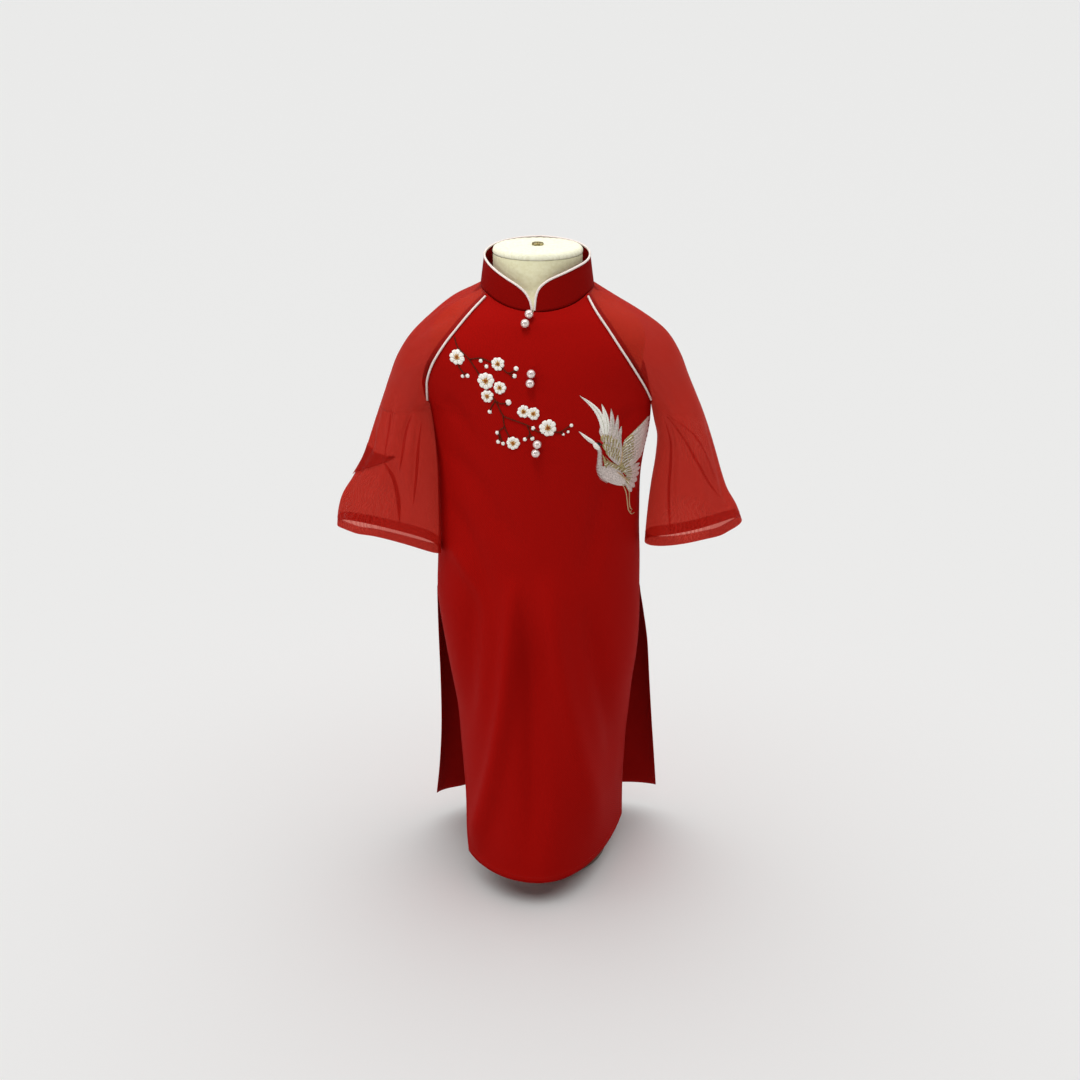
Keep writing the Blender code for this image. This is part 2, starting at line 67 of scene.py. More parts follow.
def readRows(table, t):
    # soft curve through the rows of a table of numbers, read at row numbers t
    values = np.array(table[1:], float)
    padded = np.vstack([2 * values[0] - values[1], values, 2 * values[-1] - values[-2]])
    t = np.clip(np.asarray(t, float), 0, len(values) - 1)
    i = np.clip(np.floor(t).astype(int), 0, len(values) - 2)
    f = (t - i)[..., None]
    before, a, b, after = padded[i], padded[i + 1], padded[i + 2], padded[i + 3]
    # level at a peak or beside a flat stretch, so that the curve never overshoots
    slopeA = np.where((a - before) * (b - a) > 0, (b - before) / 2, 0)
    slopeB = np.where((b - a) * (after - b) > 0, (after - a) / 2, 0)
    found = (
        a * (2 * f**3 - 3 * f**2 + 1)
        + b * (3 * f**2 - 2 * f**3)
        + slopeA * (f**3 - 2 * f**2 + f)
        + slopeB * (f**3 - f**2)
    )
    return {name: found[..., k] for k, name in enumerate(table[0])}


def curveThrough(points, stepsEach=8):
    # the same soft curve through a few points in a plane or in space
    table = [tuple(range(len(points[0])))] + list(points)
    t = np.linspace(0, len(points) - 1, (len(points) - 1) * stepsEach + 1)
    row = readRows(table, t)
    return np.stack([row[k] for k in table[0]], axis=-1)


def softStep(x):
    x = np.clip(x, 0, 1)
    return x * x * (3 - 2 * x)


def unit(vectors):
    return vectors / np.maximum(np.linalg.norm(vectors, axis=-1, keepdims=True), 1e-9)


def lengthAlong(line):
    # distance from the start of a line to each of its points
    steps = np.linalg.norm(np.diff(line, axis=0), axis=-1)
    return np.concatenate([[0], np.cumsum(steps)])


def ballPoints(radius, rings, sides):
    # a ball round zero, as rings of points from pole to pole
    ring = np.linspace(0, math.pi, rings)
    turn = np.linspace(0, 2 * math.pi, sides, endpoint=False)
    a, b = np.meshgrid(ring, turn, indexing="ij")
    return np.stack([np.sin(a) * np.cos(b), np.sin(a) * np.sin(b), np.cos(a)], axis=-1) * radius


def creaseLift(a, b, crease):
    # height of a soft ridge, or of a trough with a rise below 0, along a line drawn over the cloth
    line = curveThrough(crease["line"], 6)
    nearest = np.full(a.shape, 1e12)
    place = np.zeros(a.shape)
    squash = crease.get("squash", 1.0)  # how much one unit of the second direction counts for
    for k in range(len(line) - 1):
        start, run = line[k], line[k + 1] - line[k]
        run = np.array([run[0], run[1] * squash])
        da, db = a - start[0], (b - start[1]) * squash
        s = np.clip((da * run[0] + db * run[1]) / (run @ run), 0, 1)
        gap = (da - s * run[0]) ** 2 + (db - s * run[1]) ** 2
        closer = gap < nearest
        nearest = np.where(closer, gap, nearest)
        place = np.where(closer, (k + s) / (len(line) - 1), place)
    fadeIn, fadeOut = crease.get("fade", (0.3, 0.3))
    lift = np.exp(-nearest / crease["halfWidth"] ** 2) * crease["rise"]
    if fadeIn:
        lift = lift * softStep(place / fadeIn)
    if fadeOut:
        lift = lift * softStep((1 - place) / fadeOut)
    return lift


def gridNormals(points):
    along = np.gradient(points, axis=0)
    across = np.gradient(points, axis=1)
    normals = unit(np.cross(along, across))
    middle = points.mean(axis=1, keepdims=True)
    outward = np.sum(normals * (points - middle))
    return normals if outward > 0 else -normals


def gridFaces(rows, columns, closed=False, first=0):
    index = first + np.arange(rows * columns).reshape(rows, columns)
    if closed:
        index = np.hstack([index, index[:, :1]])
    faces = np.stack([index[:-1, :-1], index[1:, :-1], index[1:, 1:], index[:-1, 1:]], axis=-1)
    return faces.reshape(-1, 4)


def joinPatches(patches):
    # many small grids of points, each with whether it is closed, as points and faces of one mesh
    points, faces, first = [], [], 0
    for patch, closed in patches:
        rows, columns = patch.shape[:2]
        points.append(patch.reshape(-1, 3))
        faces.append(gridFaces(rows, columns, closed, first))
        first += rows * columns
    return np.vstack(points), np.vstack(faces)


def addMesh(name, points, faces, material, slotName, uv=None):
    mesh = bpy.data.meshes.new(name)
    mesh.from_pydata((points * mm).tolist(), [], faces.tolist())
    if uv is not None:
        layer = mesh.uv_layers.new(name="cloth")
        corners = np.zeros(len(mesh.loops), int)
        mesh.loops.foreach_get("vertex_index", corners)
        layer.data.foreach_set("uv", uv[corners].astype(np.float32).ravel())
    mesh.materials.append(material)
    mesh.shade_smooth()
    piece = bpy.data.objects.new(name, mesh)
    bpy.context.scene.collection.objects.link(piece)
    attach(piece, "root")
    return piece


def addCloth(name, points, material, slotName, wall=0.0, closed=False):
    # a sheet over a grid of points in millimetres, with its threads laid out in metres as UV
    rows, columns = points.shape[:2]
    along = lengthAlong(points[:, columns // 2])
    across = lengthAlong(points[rows // 2])
    uv = np.stack(np.meshgrid(across, -along), axis=-1).reshape(-1, 2) * mm
    faces = gridFaces(rows, columns, closed)
    normals = gridNormals(points)
    first = points.reshape(-1, 3)[faces[len(faces) // 2]]
    turned = np.cross(first[1] - first[0], first[2] - first[0])
    if turned @ normals.reshape(-1, 3)[faces[len(faces) // 2][0]] < 0:
        faces = faces[:, ::-1]
    piece = addMesh(name, points.reshape(-1, 3), faces, material, slotName, uv)
    if wall:
        solid = piece.modifiers.new("cloth thickness", "SOLIDIFY")
        solid.thickness = wall * mm
        solid.offset = -1
    return piece


def addTurned(name, profile, place, material, slotName, sides=96, pucker=None):
    # a turned shape: profile of (radius, height) from the top down its outer side
    profile = np.array(profile, float)
    turn = np.linspace(0, 2 * np.pi, sides, endpoint=False)
    radius = np.repeat(profile[:, :1], sides, axis=1)
    height = np.repeat(profile[:, 1:], sides, axis=1)
    if pucker is not None:
        radius, height = pucker(radius, height, turn[None, :])
    points = np.stack([
        place[0] + radius * np.cos(turn),
        place[1] + radius * np.sin(turn),
        place[2] + height,
    ], axis=-1)
    faces = gridFaces(len(profile), sides, closed=True)
    return addMesh(name, points.reshape(-1, 3), faces, material, slotName)


def addTube(name, points, radius, material):
    curve = bpy.data.curves.new(name, "CURVE")
    curve.dimensions = "3D"
    spline = curve.splines.new("POLY")
    spline.points.add(len(points) - 1)
    for place, point in zip(spline.points, points):
        place.co = (*(np.array(point) * mm), 1.0)
    curve.bevel_depth = radius * mm
    curve.bevel_resolution = 4
    curve.use_fill_caps = True
    curve.materials.append(material)
    tube = bpy.data.objects.new(name, curve)
    bpy.context.scene.collection.objects.link(tube)
    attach(tube, "root")
    return tube


# Helpers for materials

def srgb(hexColour):
    parts = [int(hexColour[i:i + 2], 16) / 255 for i in (1, 3, 5)]
    linear = [c / 12.92 if c <= 0.04045 else ((c + 0.055) / 1.055) ** 2.4 for c in parts]
    return (*linear, 1.0)


def addNode(tree, kind, settings=None, links=None):
    node = tree.nodes.new(kind)
    for key, value in (settings or {}).items():
        if key == "stops":
            ramp = node.color_ramp
            while len(ramp.elements) < len(value):
                ramp.elements.new(0.5)
            for element, (place, colour) in zip(ramp.elements, value):
                element.position = place
                element.color = srgb(colour)
        elif isinstance(key, int) or key in node.inputs.keys():
            node.inputs[key].default_value = value
        else:
            setattr(node, key, value)
    for key, source in (links or {}).items():
        tree.links.new(node.inputs[key], source)
    return node


def waveScale(spacing):
    # the wave texture's own scale for lines that lie this many millimetres apart
    return math.pi / 10 / (spacing * mm)


def startMaterial(name, settings):
    material = bpy.data.materials.new(name)
    material.use_nodes = True
    tree = material.node_tree
    shader = tree.nodes["Principled BSDF"]
    for key, value in settings.items():
        shader.inputs[key].default_value = srgb(value) if isinstance(value, str) else value
    return material, tree, shader


# Polyester crepe, woven with overtwisted yarn and piece dyed: a fine pebble that
# breaks the light up, so the cloth looks deep and almost without shine
crepe = {
    "ground": "#A80B06",
    "shade": "#950905",
    # the collar's copy of the crepe is darker still: its deeper red is a painted shade
    "collarGroundPaintedShade": "#8C0703",
    "collarPebblePaintedShade": "#7E0603",
    "pebble": 0.9,      # mm, real crepe has about 0.4, drawn coarser so that it shows
    "pebbleDepth": 0.2,  # mm
    "twill": 1.4,       # mm between the faint slanted lines, drawn coarser too
}


def makeCrepe(name, ground, shade):
    material, tree, shader = startMaterial(name, {
        "Roughness": 0.8,
        "Specular IOR Level": 0.04,
        "IOR": 1.5,
        "Sheen Weight": 0.01,
        "Sheen Roughness": 0.4,
        "Sheen Tint": "#D8281C",
    })
    place = addNode(tree, "ShaderNodeTexCoord")
    pebble = addNode(tree, "ShaderNodeTexNoise", {"Scale": 1 / (crepe["pebble"] * mm), "Detail": 2.0,
                     "Roughness": 0.6}, {"Vector": place.outputs["Object"]})
    twill = addNode(tree, "ShaderNodeTexWave", {
        "wave_type": "BANDS", "bands_direction": "DIAGONAL", "Scale": waveScale(crepe["twill"]),
        "Distortion": 2.0, "Detail": 1.0, "Detail Scale": 1.5,
    }, {"Vector": place.outputs["UV"]})
    surface = addNode(tree, "ShaderNodeMath", {"operation": "MULTIPLY_ADD", 1: 0.35},
                      {0: twill.outputs["Fac"], 2: pebble.outputs["Fac"]})
    dyed = addNode(tree, "ShaderNodeValToRGB", {"stops": [(0.4, shade), (0.95, ground)]},
                   {"Fac": surface.outputs[0]})
    bump = addNode(tree, "ShaderNodeBump", {"Strength": 0.6, "Distance": crepe["pebbleDepth"] * mm},
                   {"Height": surface.outputs[0]})
    tree.links.new(shader.inputs["Base Color"], dyed.outputs["Color"])
    tree.links.new(shader.inputs["Normal"], bump.outputs["Normal"])
    return material


# Polyester organza, a stiff sheer plain weave of fine twisted filament: it lets
# red light through, so what lies under it glows, and two layers make a watermark
organza = {
    "thread": "#BC2418",
    "glow": "#F09488",     # colour of what is seen through it
    "cover": 0.52,         # share of the surface that the threads cover
    "threadSpacing": 1.3,  # mm, real organza has about 0.25, drawn coarser so that it shows
    "waterMark": 3.4,      # mm, between the rings of the watermark
    "markDepth": 0.34,     # share of cover that the rings take away
    "markFront": -68,      # mm, y of the cloth that the marks lie on
    # where the two layers lie close enough to make it, as x, height and reach in mm
    "marks": ((-196, 488, 42), (-172, 600, 28), (186, 556, 40), (166, 462, 34)),
}


def makeOrganza():
    material, tree, shader = startMaterial("polyester organza, sheer plain weave", {
        "Roughness": 0.5,
        "Specular IOR Level": 0.15,
        "IOR": 1.5,
        "Sheen Weight": 0.05,
        "Sheen Roughness": 0.35,
        "Sheen Tint": "#F08070",
        "Base Color": organza["thread"],
    })
    place = addNode(tree, "ShaderNodeTexCoord")
    threads = []
    for direction in ("X", "Y"):
        threads.append(addNode(tree, "ShaderNodeTexWave", {
            "wave_type": "BANDS", "bands_direction": direction,
            "Scale": waveScale(organza["threadSpacing"]),
            "Distortion": 0.6, "Detail": 1.0, "Detail Scale": 0.6,
        }, {"Vector": place.outputs["UV"]}))
    woven = addNode(tree, "ShaderNodeMath", {"operation": "MAXIMUM"},
                    {0: threads[0].outputs["Fac"], 1: threads[1].outputs["Fac"]})
    rings = addNode(tree, "ShaderNodeTexWave", {
        "wave_type": "BANDS", "bands_direction": "X", "Scale": waveScale(organza["waterMark"]),
        "Distortion": 15.0, "Detail": 1.0, "Detail Scale": 0.6, "Detail Roughness": 0.3,
    }, {"Vector": place.outputs["UV"]})
    # the patches lie on the front of the sleeves and fade towards their sides
    front = addNode(tree, "ShaderNodeMapping", {"Scale": (1.0, 0.8, 1.0)},
                    {"Vector": place.outputs["Object"]})
    where = None
    for x, height, reach in organza["marks"]:
        middle = (x * mm, organza["markFront"] * mm, height * mm)
        gap = addNode(tree, "ShaderNodeVectorMath", {"operation": "DISTANCE", 1: middle},
                      {0: front.outputs["Vector"]})
        patch = addNode(tree, "ShaderNodeMapRange", {"From Min": reach * mm * 0.5, "From Max": reach * mm,
                        "To Min": organza["markDepth"], "To Max": 0.0}, {"Value": gap.outputs["Value"]})
        if where is None:
            where = patch.outputs["Result"]
        else:
            wider = addNode(tree, "ShaderNodeMath", {"operation": "MAXIMUM"},
                            {0: where, 1: patch.outputs["Result"]})
            where = wider.outputs[0]
    mark = addNode(tree, "ShaderNodeMath", {"operation": "MULTIPLY"}, {0: rings.outputs["Fac"], 1: where})
    cover = addNode(tree, "ShaderNodeMath",
                    {"operation": "MULTIPLY_ADD", 1: 0.16, 2: organza["cover"] - 0.08},
                    {0: woven.outputs[0]})
    marked = addNode(tree, "ShaderNodeMath", {"operation": "SUBTRACT"},
                     {0: cover.outputs[0], 1: mark.outputs[0]})
    bump = addNode(tree, "ShaderNodeBump", {"Strength": 0.25, "Distance": 0.1 * mm},
                   {"Height": woven.outputs[0]})
    tree.links.new(shader.inputs["Normal"], bump.outputs["Normal"])
    through = addNode(tree, "ShaderNodeBsdfTransparent", {"Color": srgb(organza["glow"])})
    soft = addNode(tree, "ShaderNodeBsdfTranslucent", {"Color": srgb(organza["thread"])})
    fibre = addNode(tree, "ShaderNodeMixShader", {0: 0.35}, {1: shader.outputs[0], 2: soft.outputs[0]})
    both = addNode(tree, "ShaderNodeMixShader", None,
                   {0: marked.outputs[0], 1: through.outputs[0], 2: fibre.outputs[0]})
    tree.links.new(tree.nodes["Material Output"].inputs["Surface"], both.outputs[0])
    return material


# Satin bias piping over a cotton cord, folded and pressed: a clean pale line with a
# soft shine along its crown
def makePiping():
    material, tree, shader = startMaterial("satin piping, bias cut over cord", {
        "Roughness": 0.38,
        "Specular IOR Level": 0.5,
        "Sheen Weight": 0.1,
        "Sheen Tint": "#FFFFFF",
    })
    place = addNode(tree, "ShaderNodeTexCoord")
    threads = addNode(tree, "ShaderNodeTexNoise", {"Scale": 900.0, "Detail": 2.0},
                      {"Vector": place.outputs["Object"]})
    tint = addNode(tree, "ShaderNodeValToRGB", {"stops": [(0.3, "#E2D2CB"), (0.7, "#F6EDE6")]},
                   {"Fac": threads.outputs["Fac"]})
    bump = addNode(tree, "ShaderNodeBump", {"Strength": 0.25, "Distance": 0.1 * mm},
                   {"Height": threads.outputs["Fac"]})
    tree.links.new(shader.inputs["Base Color"], tint.outputs["Color"])
    tree.links.new(shader.inputs["Normal"], bump.outputs["Normal"])
    return material


# Glass pearl, dipped in nacre lacquer: a creamy body under a glossy clear skin, with
# faint rosy and green clouds in it; the rosy tint is partly the pearl's own and partly a painted reflection
# of the red cloth around it
def makePearl():
    material, tree, shader = startMaterial("glass pearl, lacquer dipped", {
        "Roughness": 0.18,
        "Metallic": 0.4,
        "IOR": 1.53,
        "Specular IOR Level": 0.8,
        "Coat Weight": 1.0,
        "Coat Roughness": 0.05,
    })
    place = addNode(tree, "ShaderNodeTexCoord")
    clouds = addNode(tree, "ShaderNodeTexNoise", {"Scale": 180.0, "Detail": 2.0},
                     {"Vector": place.outputs["Object"]})
    # the rosy stops are partly a painted reflection of the red cloth
    tint = addNode(tree, "ShaderNodeValToRGB",
                   {"stops": [(0.35, "#E0CAC6"), (0.5, "#EDDCD6"), (0.65, "#E2D8CE")]},
                   {"Fac": clouds.outputs["Fac"]})
    tree.links.new(shader.inputs["Base Color"], tint.outputs["Color"])
    return material


# Linen-cotton jersey stretched over a foam form, plain woven: an even small grid of
# slubby threads in natural cream
linen = {"threadSpacing": 1.5}  # mm, real cloth has about 0.6, drawn coarser so that it shows


def makeLinen(name, dark, light, laidBy):
    # laidBy names the coordinates that the threads follow
    material, tree, shader = startMaterial(name, {
        "Roughness": 0.85,
        "Specular IOR Level": 0.15,
        "Sheen Weight": 0.1,
        "Sheen Tint": "#FFFFFF",
    })
    place = addNode(tree, "ShaderNodeTexCoord")
    bands = []
    for direction in ("X", "Y"):
        bands.append(addNode(tree, "ShaderNodeTexWave", {
            "wave_type": "BANDS", "bands_direction": direction, "Scale": waveScale(linen["threadSpacing"]),
            "Distortion": 1.0, "Detail": 2.0, "Detail Scale": 1.0,
        }, {"Vector": place.outputs[laidBy]}))
    woven = addNode(tree, "ShaderNodeMath", {"operation": "MAXIMUM"},
                    {0: bands[0].outputs["Fac"], 1: bands[1].outputs["Fac"]})
    slubs = addNode(tree, "ShaderNodeTexNoise", {"Scale": 260.0, "Detail": 3.0},
                    {"Vector": place.outputs["Object"]})
    mixed = addNode(tree, "ShaderNodeMath", {"operation": "MULTIPLY_ADD", 1: 0.4},
                    {0: woven.outputs[0], 2: slubs.outputs["Fac"]})
    tint = addNode(tree, "ShaderNodeValToRGB", {"stops": [(0.45, dark), (0.95, light)]},
                   {"Fac": mixed.outputs[0]})
    bump = addNode(tree, "ShaderNodeBump", {"Strength": 0.4, "Distance": 0.2 * mm},
                   {"Height": woven.outputs[0]})
    tree.links.new(shader.inputs["Base Color"], tint.outputs["Color"])
    tree.links.new(shader.inputs["Normal"], bump.outputs["Normal"])
    return material


# Brass, turned and lacquered, gone a little dull: warm yellow with brown in the turning marks
def makeBrass():
    material, tree, shader = startMaterial("brass, turned and lacquered", {
        "Metallic": 1.0,
        "Roughness": 0.34,
    })
    place = addNode(tree, "ShaderNodeTexCoord")
    marks = addNode(tree, "ShaderNodeTexNoise", {"Scale": 420.0, "Detail": 4.0},
                    {"Vector": place.outputs["Object"]})
    tint = addNode(tree, "ShaderNodeValToRGB", {"stops": [(0.35, "#7C6C40"), (0.65, "#C8BC8C")]},
                   {"Fac": marks.outputs["Fac"]})
    tree.links.new(shader.inputs["Base Color"], tint.outputs["Color"])
    return material


# Beech, turned, stained dark and wax polished: long brown grain under a low shine
wood = {"grain": 5.0}  # mm


def makeWood(name, stretchZ):
    material, tree, shader = startMaterial(name, {
        "Roughness": 0.4,
        "Specular IOR Level": 0.45,
        "Coat Weight": 0.2,
        "Coat Roughness": 0.3,
    })
    place = addNode(tree, "ShaderNodeTexCoord")
    stretch = (1.0, 1.0, 0.06) if stretchZ else (0.08, 1.0, 1.0)
    laid = addNode(tree, "ShaderNodeMapping", {"Scale": stretch}, {"Vector": place.outputs["Object"]})
    grain = addNode(tree, "ShaderNodeTexNoise", {"Scale": 1 / (wood["grain"] * mm), "Detail": 6.0,
                    "Roughness": 0.65, "Distortion": 0.6}, {"Vector": laid.outputs["Vector"]})
    tint = addNode(tree, "ShaderNodeValToRGB",
                   {"stops": [(0.3, "#2E1A10"), (0.5, "#5A3520"), (0.72, "#7A4C2E")]},
                   {"Fac": grain.outputs["Fac"]})
    bump = addNode(tree, "ShaderNodeBump", {"Strength": 0.2, "Distance": 0.2 * mm},
                   {"Height": grain.outputs["Fac"]})
    tree.links.new(shader.inputs["Base Color"], tint.outputs["Color"])
    tree.links.new(shader.inputs["Normal"], bump.outputs["Normal"])
    return material


# Embroidery thread, twisted and laid side by side: fine light and dark hairs across
# each shape, and a silky shine
def makeThread(name, dark, light, roughness=0.42, metallic=0.0):
    material, tree, shader = startMaterial(name, {
        "Roughness": roughness,
        "Metallic": metallic,
        "Specular IOR Level": 0.25,
    })
    place = addNode(tree, "ShaderNodeTexCoord")
    hairs = addNode(tree, "ShaderNodeTexNoise", {"Scale": 700.0, "Detail": 3.0, "Roughness": 0.7},
                    {"Vector": place.outputs["Object"]})
    tint = addNode(tree, "ShaderNodeValToRGB", {"stops": [(0.35, dark), (0.6, light)]},
                   {"Fac": hairs.outputs["Fac"]})
    bump = addNode(tree, "ShaderNodeBump", {"Strength": 0.5, "Distance": 0.2 * mm},
                   {"Height": hairs.outputs["Fac"]})
    tree.links.new(shader.inputs["Base Color"], tint.outputs["Color"])
    tree.links.new(shader.inputs["Normal"], bump.outputs["Normal"])
    return material


finishes = {
    "crepe": makeCrepe("polyester crepe, woven and piece dyed", crepe["ground"], crepe["shade"]),
    # a darker copy of the crepe for the collar and the neck seam, its deeper red a painted shade
    "crepePaintedShade": makeCrepe("polyester crepe, darker copy with painted shade", crepe["collarGroundPaintedShade"],
                            crepe["collarPebblePaintedShade"]),
    "organza": makeOrganza(),
    "piping": makePiping(),
    "pearl": makePearl(),
    "linen": makeLinen("linen jersey, plain woven", "#EBE6B8", "#FAF7D2", "UV"),
    "cap": makeLinen("bleached linen, plain woven", "#E9E6C6", "#F8F6DE", "Object"),
    "brass": makeBrass(),
    "pole": makeWood("beech, turned and stained, upright grain", True),
    "base": makeWood("beech, turned and stained, flat grain", False),
    "redThread": makeThread("polyester sewing thread, dyed red", "#7E0908", "#B21A16"),
    "whiteThread": makeThread("rayon embroidery thread, white", "#EAE3D8", "#FFFDF6"),
    "silverThread": makeThread("rayon embroidery thread, silver grey", "#AE9F99", "#E6DAD4", 0.36),
    # sage grey thread laid where shade falls between raised stitches: a painted shade
    "paintedShadeThread": makeThread("sage grey thread, painted shade between raised stitches", "#8E8C70", "#C4C2A6"),
    "oliveThread": makeThread("rayon embroidery thread, olive gold", "#7C6A38", "#C2B282", 0.38),
    "goldThread": makeThread("metal wrapped thread, old gold", "#9A7850", "#D2B48C", 0.38, 0.4),
    "brownThread": makeThread("rayon embroidery thread, brown", "#401000", "#661800", 0.9),
    "amberThread": makeThread("rayon embroidery thread, amber", "#A4661A", "#E0AC4C"),
    "eyeThread": makeThread("rayon embroidery thread, chestnut", "#5E2408", "#A85414"),
    "crownThread": makeThread("rayon embroidery thread, scarlet", "#A01010", "#D02020"),
    "blackThread": makeThread("rayon embroidery thread, black", "#0A0808", "#201818"),
}
print("materials made")


# How the cloth of both panels lies at its edges
clothEdge = {
    "roundShare": 1.35,  # mm over the curved cloth for each mm of half width
    "sewnFade": 18,      # mm, creases die out over this beside a seam
    "slitFade": 60,      # mm, and run on to the edge from this far below the top of a slit
    "slitShare": 1.4,    # the turned edge of a slit is this much narrower than the hem
    "hemRise": 0.55,     # mm, a turned hem is two layers more
    "hemSlope": 2.5,     # mm
    "groove": 0.5,       # mm, where the hem's stitches pull in
    "seamGap": 0.1,      # mm that the grid stops short of a seam
    "halfReach": 150,    # mm, about, over the cloth from a panel's middle to its edge
}


# Front panel. Its levels are those of the solid: the edge is the raglan seam down to
# the armpit, then the side seam down to the slit, then the slit's own hem.
frontPanel = {
    "wall": 0.7,
    "columns": 150,
    "stepsEachLevel": 10,
    "side": 1,
    "slitTop": 365,
    "hemTurn": 8.0,
    "levels": (
        ("edgeHeight", "midHeight", "leftX", "rightX", "leftY", "rightY", "midY", "edgeAngle"),
        (717.0, 703.7, 55.5, 53.5, -56, -56, -89.5, 60),
        (702.0, 692.0, 73.0, 63.5, -71, -71, -97.5, 52),
        (685.0, 677.0, 89.0, 76.0, -80, -79, -104.0, 50),
        (665.0, 660.0, 105.0, 89.5, -84, -83, -110.0, 50),
        (642.0, 640.0, 117.5, 103.5, -78, -78, -115.0, 56),
        (617.0, 617.0, 123.0, 116.5, -63, -63, -119.0, 66),
        (597.0, 597.0, 123.0, 124.5, -47, -47, -121.5, 77),
        (583.0, 583.0, 121.5, 127.0, -25, -25, -123.0, 90),
        (560.0, 560.0, 118.5, 125.5, -25, -25, -124.0, 90),
        (530.0, 530.0, 116.0, 120.0, -25, -25, -125.0, 90),
        (500.0, 500.0, 115.0, 116.6, -25, -25, -125.5, 90),
        (450.0, 450.0, 115.0, 116.5, -25, -25, -126.0, 90),
        (405.0, 405.0, 116.5, 118.0, -25, -25, -127.0, 90),
        (365.0, 365.0, 118.0, 118.5, -25, -25, -128.0, 90),
        (325.0, 325.0, 114.5, 119.0, -22, -21, -129.0, 90),
        (280.0, 280.0, 108.5, 117.5, -16, -13, -130.5, 90),
        (234.0, 234.0, 102.5, 113.0, -12, -4, -132.0, 87),
        (180.0, 180.0, 95.3, 110.0, -18, 6, -134.0, 80),
        (120.0, 120.0, 89.3, 106.0, -38, 15, -137.0, 72),
        (72.0, 72.0, 86.0, 105.0, -55, 21, -139.0, 66),
        (30.0, 30.0, 84.6, 105.5, -66, 24, -140.0, 60),
    ),
    # soft folds and creases, as lines of (x, height) over the cloth
    "creases": (
        {"line": ((-28, 420), (-30, 380), (-38, 260), (-54, 155), (-70, 80), (-80, 25)),
         "rise": 11.0, "halfWidth": 10, "fade": (0.35, 0.25)},
        {"line": ((6, 430), (12, 370), (24, 285), (40, 209), (60, 123), (78, 25)),
         "rise": 13.0, "halfWidth": 16, "fade": (0.3, 0.25)},
        {"line": ((-9, 400), (-8, 300), (-8, 200), (-6, 100), (-4, 25)),
         "rise": -10.0, "halfWidth": 15, "fade": (0.3, 0.4)},
        {"line": ((-70, 430), (-78, 340), (-84, 250), (-92, 160)),
         "rise": -8.0, "halfWidth": 12, "fade": (0.3, 0.4)},
        {"line": ((50, 400), (68, 300), (88, 200), (96, 120)),
         "rise": -8.0, "halfWidth": 13, "fade": (0.3, 0.3)},
        {"line": ((-104, 560), (-70, 520), (-40, 470), (-20, 430)),
         "rise": -3.8, "halfWidth": 12, "fade": (0.3, 0.4)},
        {"line": ((-106, 500), (-80, 455), (-60, 400), (-50, 330)),
         "rise": -3.8, "halfWidth": 10, "fade": (0.3, 0.4)},
        {"line": ((-104, 440), (-86, 420), (-70, 390), (-66, 350)),
         "rise": 3.4, "halfWidth": 9, "fade": (0.3, 0.4)},
        {"line": ((100, 560), (74, 500), (60, 440), (54, 380)),
         "rise": -3.6, "halfWidth": 12, "fade": (0.3, 0.4)},
        {"line": ((-106, 612), (-86, 590), (-70, 560), (-62, 520)),
         "rise": -3.2, "halfWidth": 9, "fade": (0.2, 0.5)},
        {"line": ((104, 600), (92, 572), (84, 540), (82, 500)),
         "rise": -3.0, "halfWidth": 8, "fade": (0.2, 0.5)},
    ),
}


def panelSurface(panel, across, t):
    # the panel's outer face for across from -1, the left edge, to 1, the right edge
    row = readRows(panel["levels"], t)
    side = panel["side"]
    edgeAngle = np.radians(row["edgeAngle"])
    angle = np.abs(across) * edgeAngle
    roundPart = (1 - np.cos(angle)) / (1 - np.cos(edgeAngle))
    edgeX = np.where(across < 0, -row["leftX"], row["rightX"])
    edgeY = np.where(across < 0, row["leftY"], row["rightY"])
    x = edgeX * np.sin(angle) / np.sin(edgeAngle)
    y = row["midY"] + (edgeY - row["midY"]) * roundPart
    z = row["midHeight"] + (row["edgeHeight"] - row["midHeight"]) * roundPart
    lift = np.zeros(x.shape)
    for crease in panel["creases"]:
        lift = lift + creaseLift(x, z, crease)
    # the creases die out at the sewn edges and stay at the free ones
    halfWidth = clothEdge["roundShare"] * np.abs(edgeX)
    fromEdge = (1 - np.abs(across)) * halfWidth
    free = softStep((panel["slitTop"] - z) / clothEdge["slitFade"])
    lift = lift * np.maximum(free, softStep(fromEdge / clothEdge["sewnFade"]))
    # the turned hem stands up a little, with a groove along its stitches
    turn = panel["hemTurn"]
    lastRow = len(panel["levels"]) - 2
    fromHem = (lastRow - t) * (panel["levels"][-2][0] - panel["levels"][-1][0])
    toSlit = np.minimum(fromEdge * clothEdge["slitShare"], fromHem)
    toFree = np.where(z < panel["slitTop"], toSlit, fromHem)
    lift = lift + clothEdge["hemRise"] * softStep((turn + 1.5 - toFree) / clothEdge["hemSlope"])
    lift = lift - clothEdge["groove"] * np.exp(-(toFree - turn + 1) ** 2)
    x = x + np.sign(across) * lift * np.sin(angle)
    y = y - side * lift * np.cos(angle)
    return np.stack([x, y, z], axis=-1)


def panelPoints(panel):
    levels = len(panel["levels"]) - 2
    t = np.linspace(0, levels, levels * panel["stepsEachLevel"] + 1)
    spread = np.linspace(-1, 1, panel["columns"] + 1)
    across, rows = np.meshgrid(spread, t)
    limit = 1 - clothEdge["seamGap"] / clothEdge["halfReach"]
    return panelSurface(panel, across * limit, rows)


def panelLine(panel, across, t, lift, probe=0.005):
    # a line over the panel, lifted off its outer face
    here = panelSurface(panel, across, t)
    overX = panelSurface(panel, across + probe, t) - panelSurface(panel, across - probe, t)
    downT = panelSurface(panel, across, t + 0.02) - panelSurface(panel, across, t - 0.02)
    return here + unit(np.cross(downT, overX) * panel["side"]) * lift


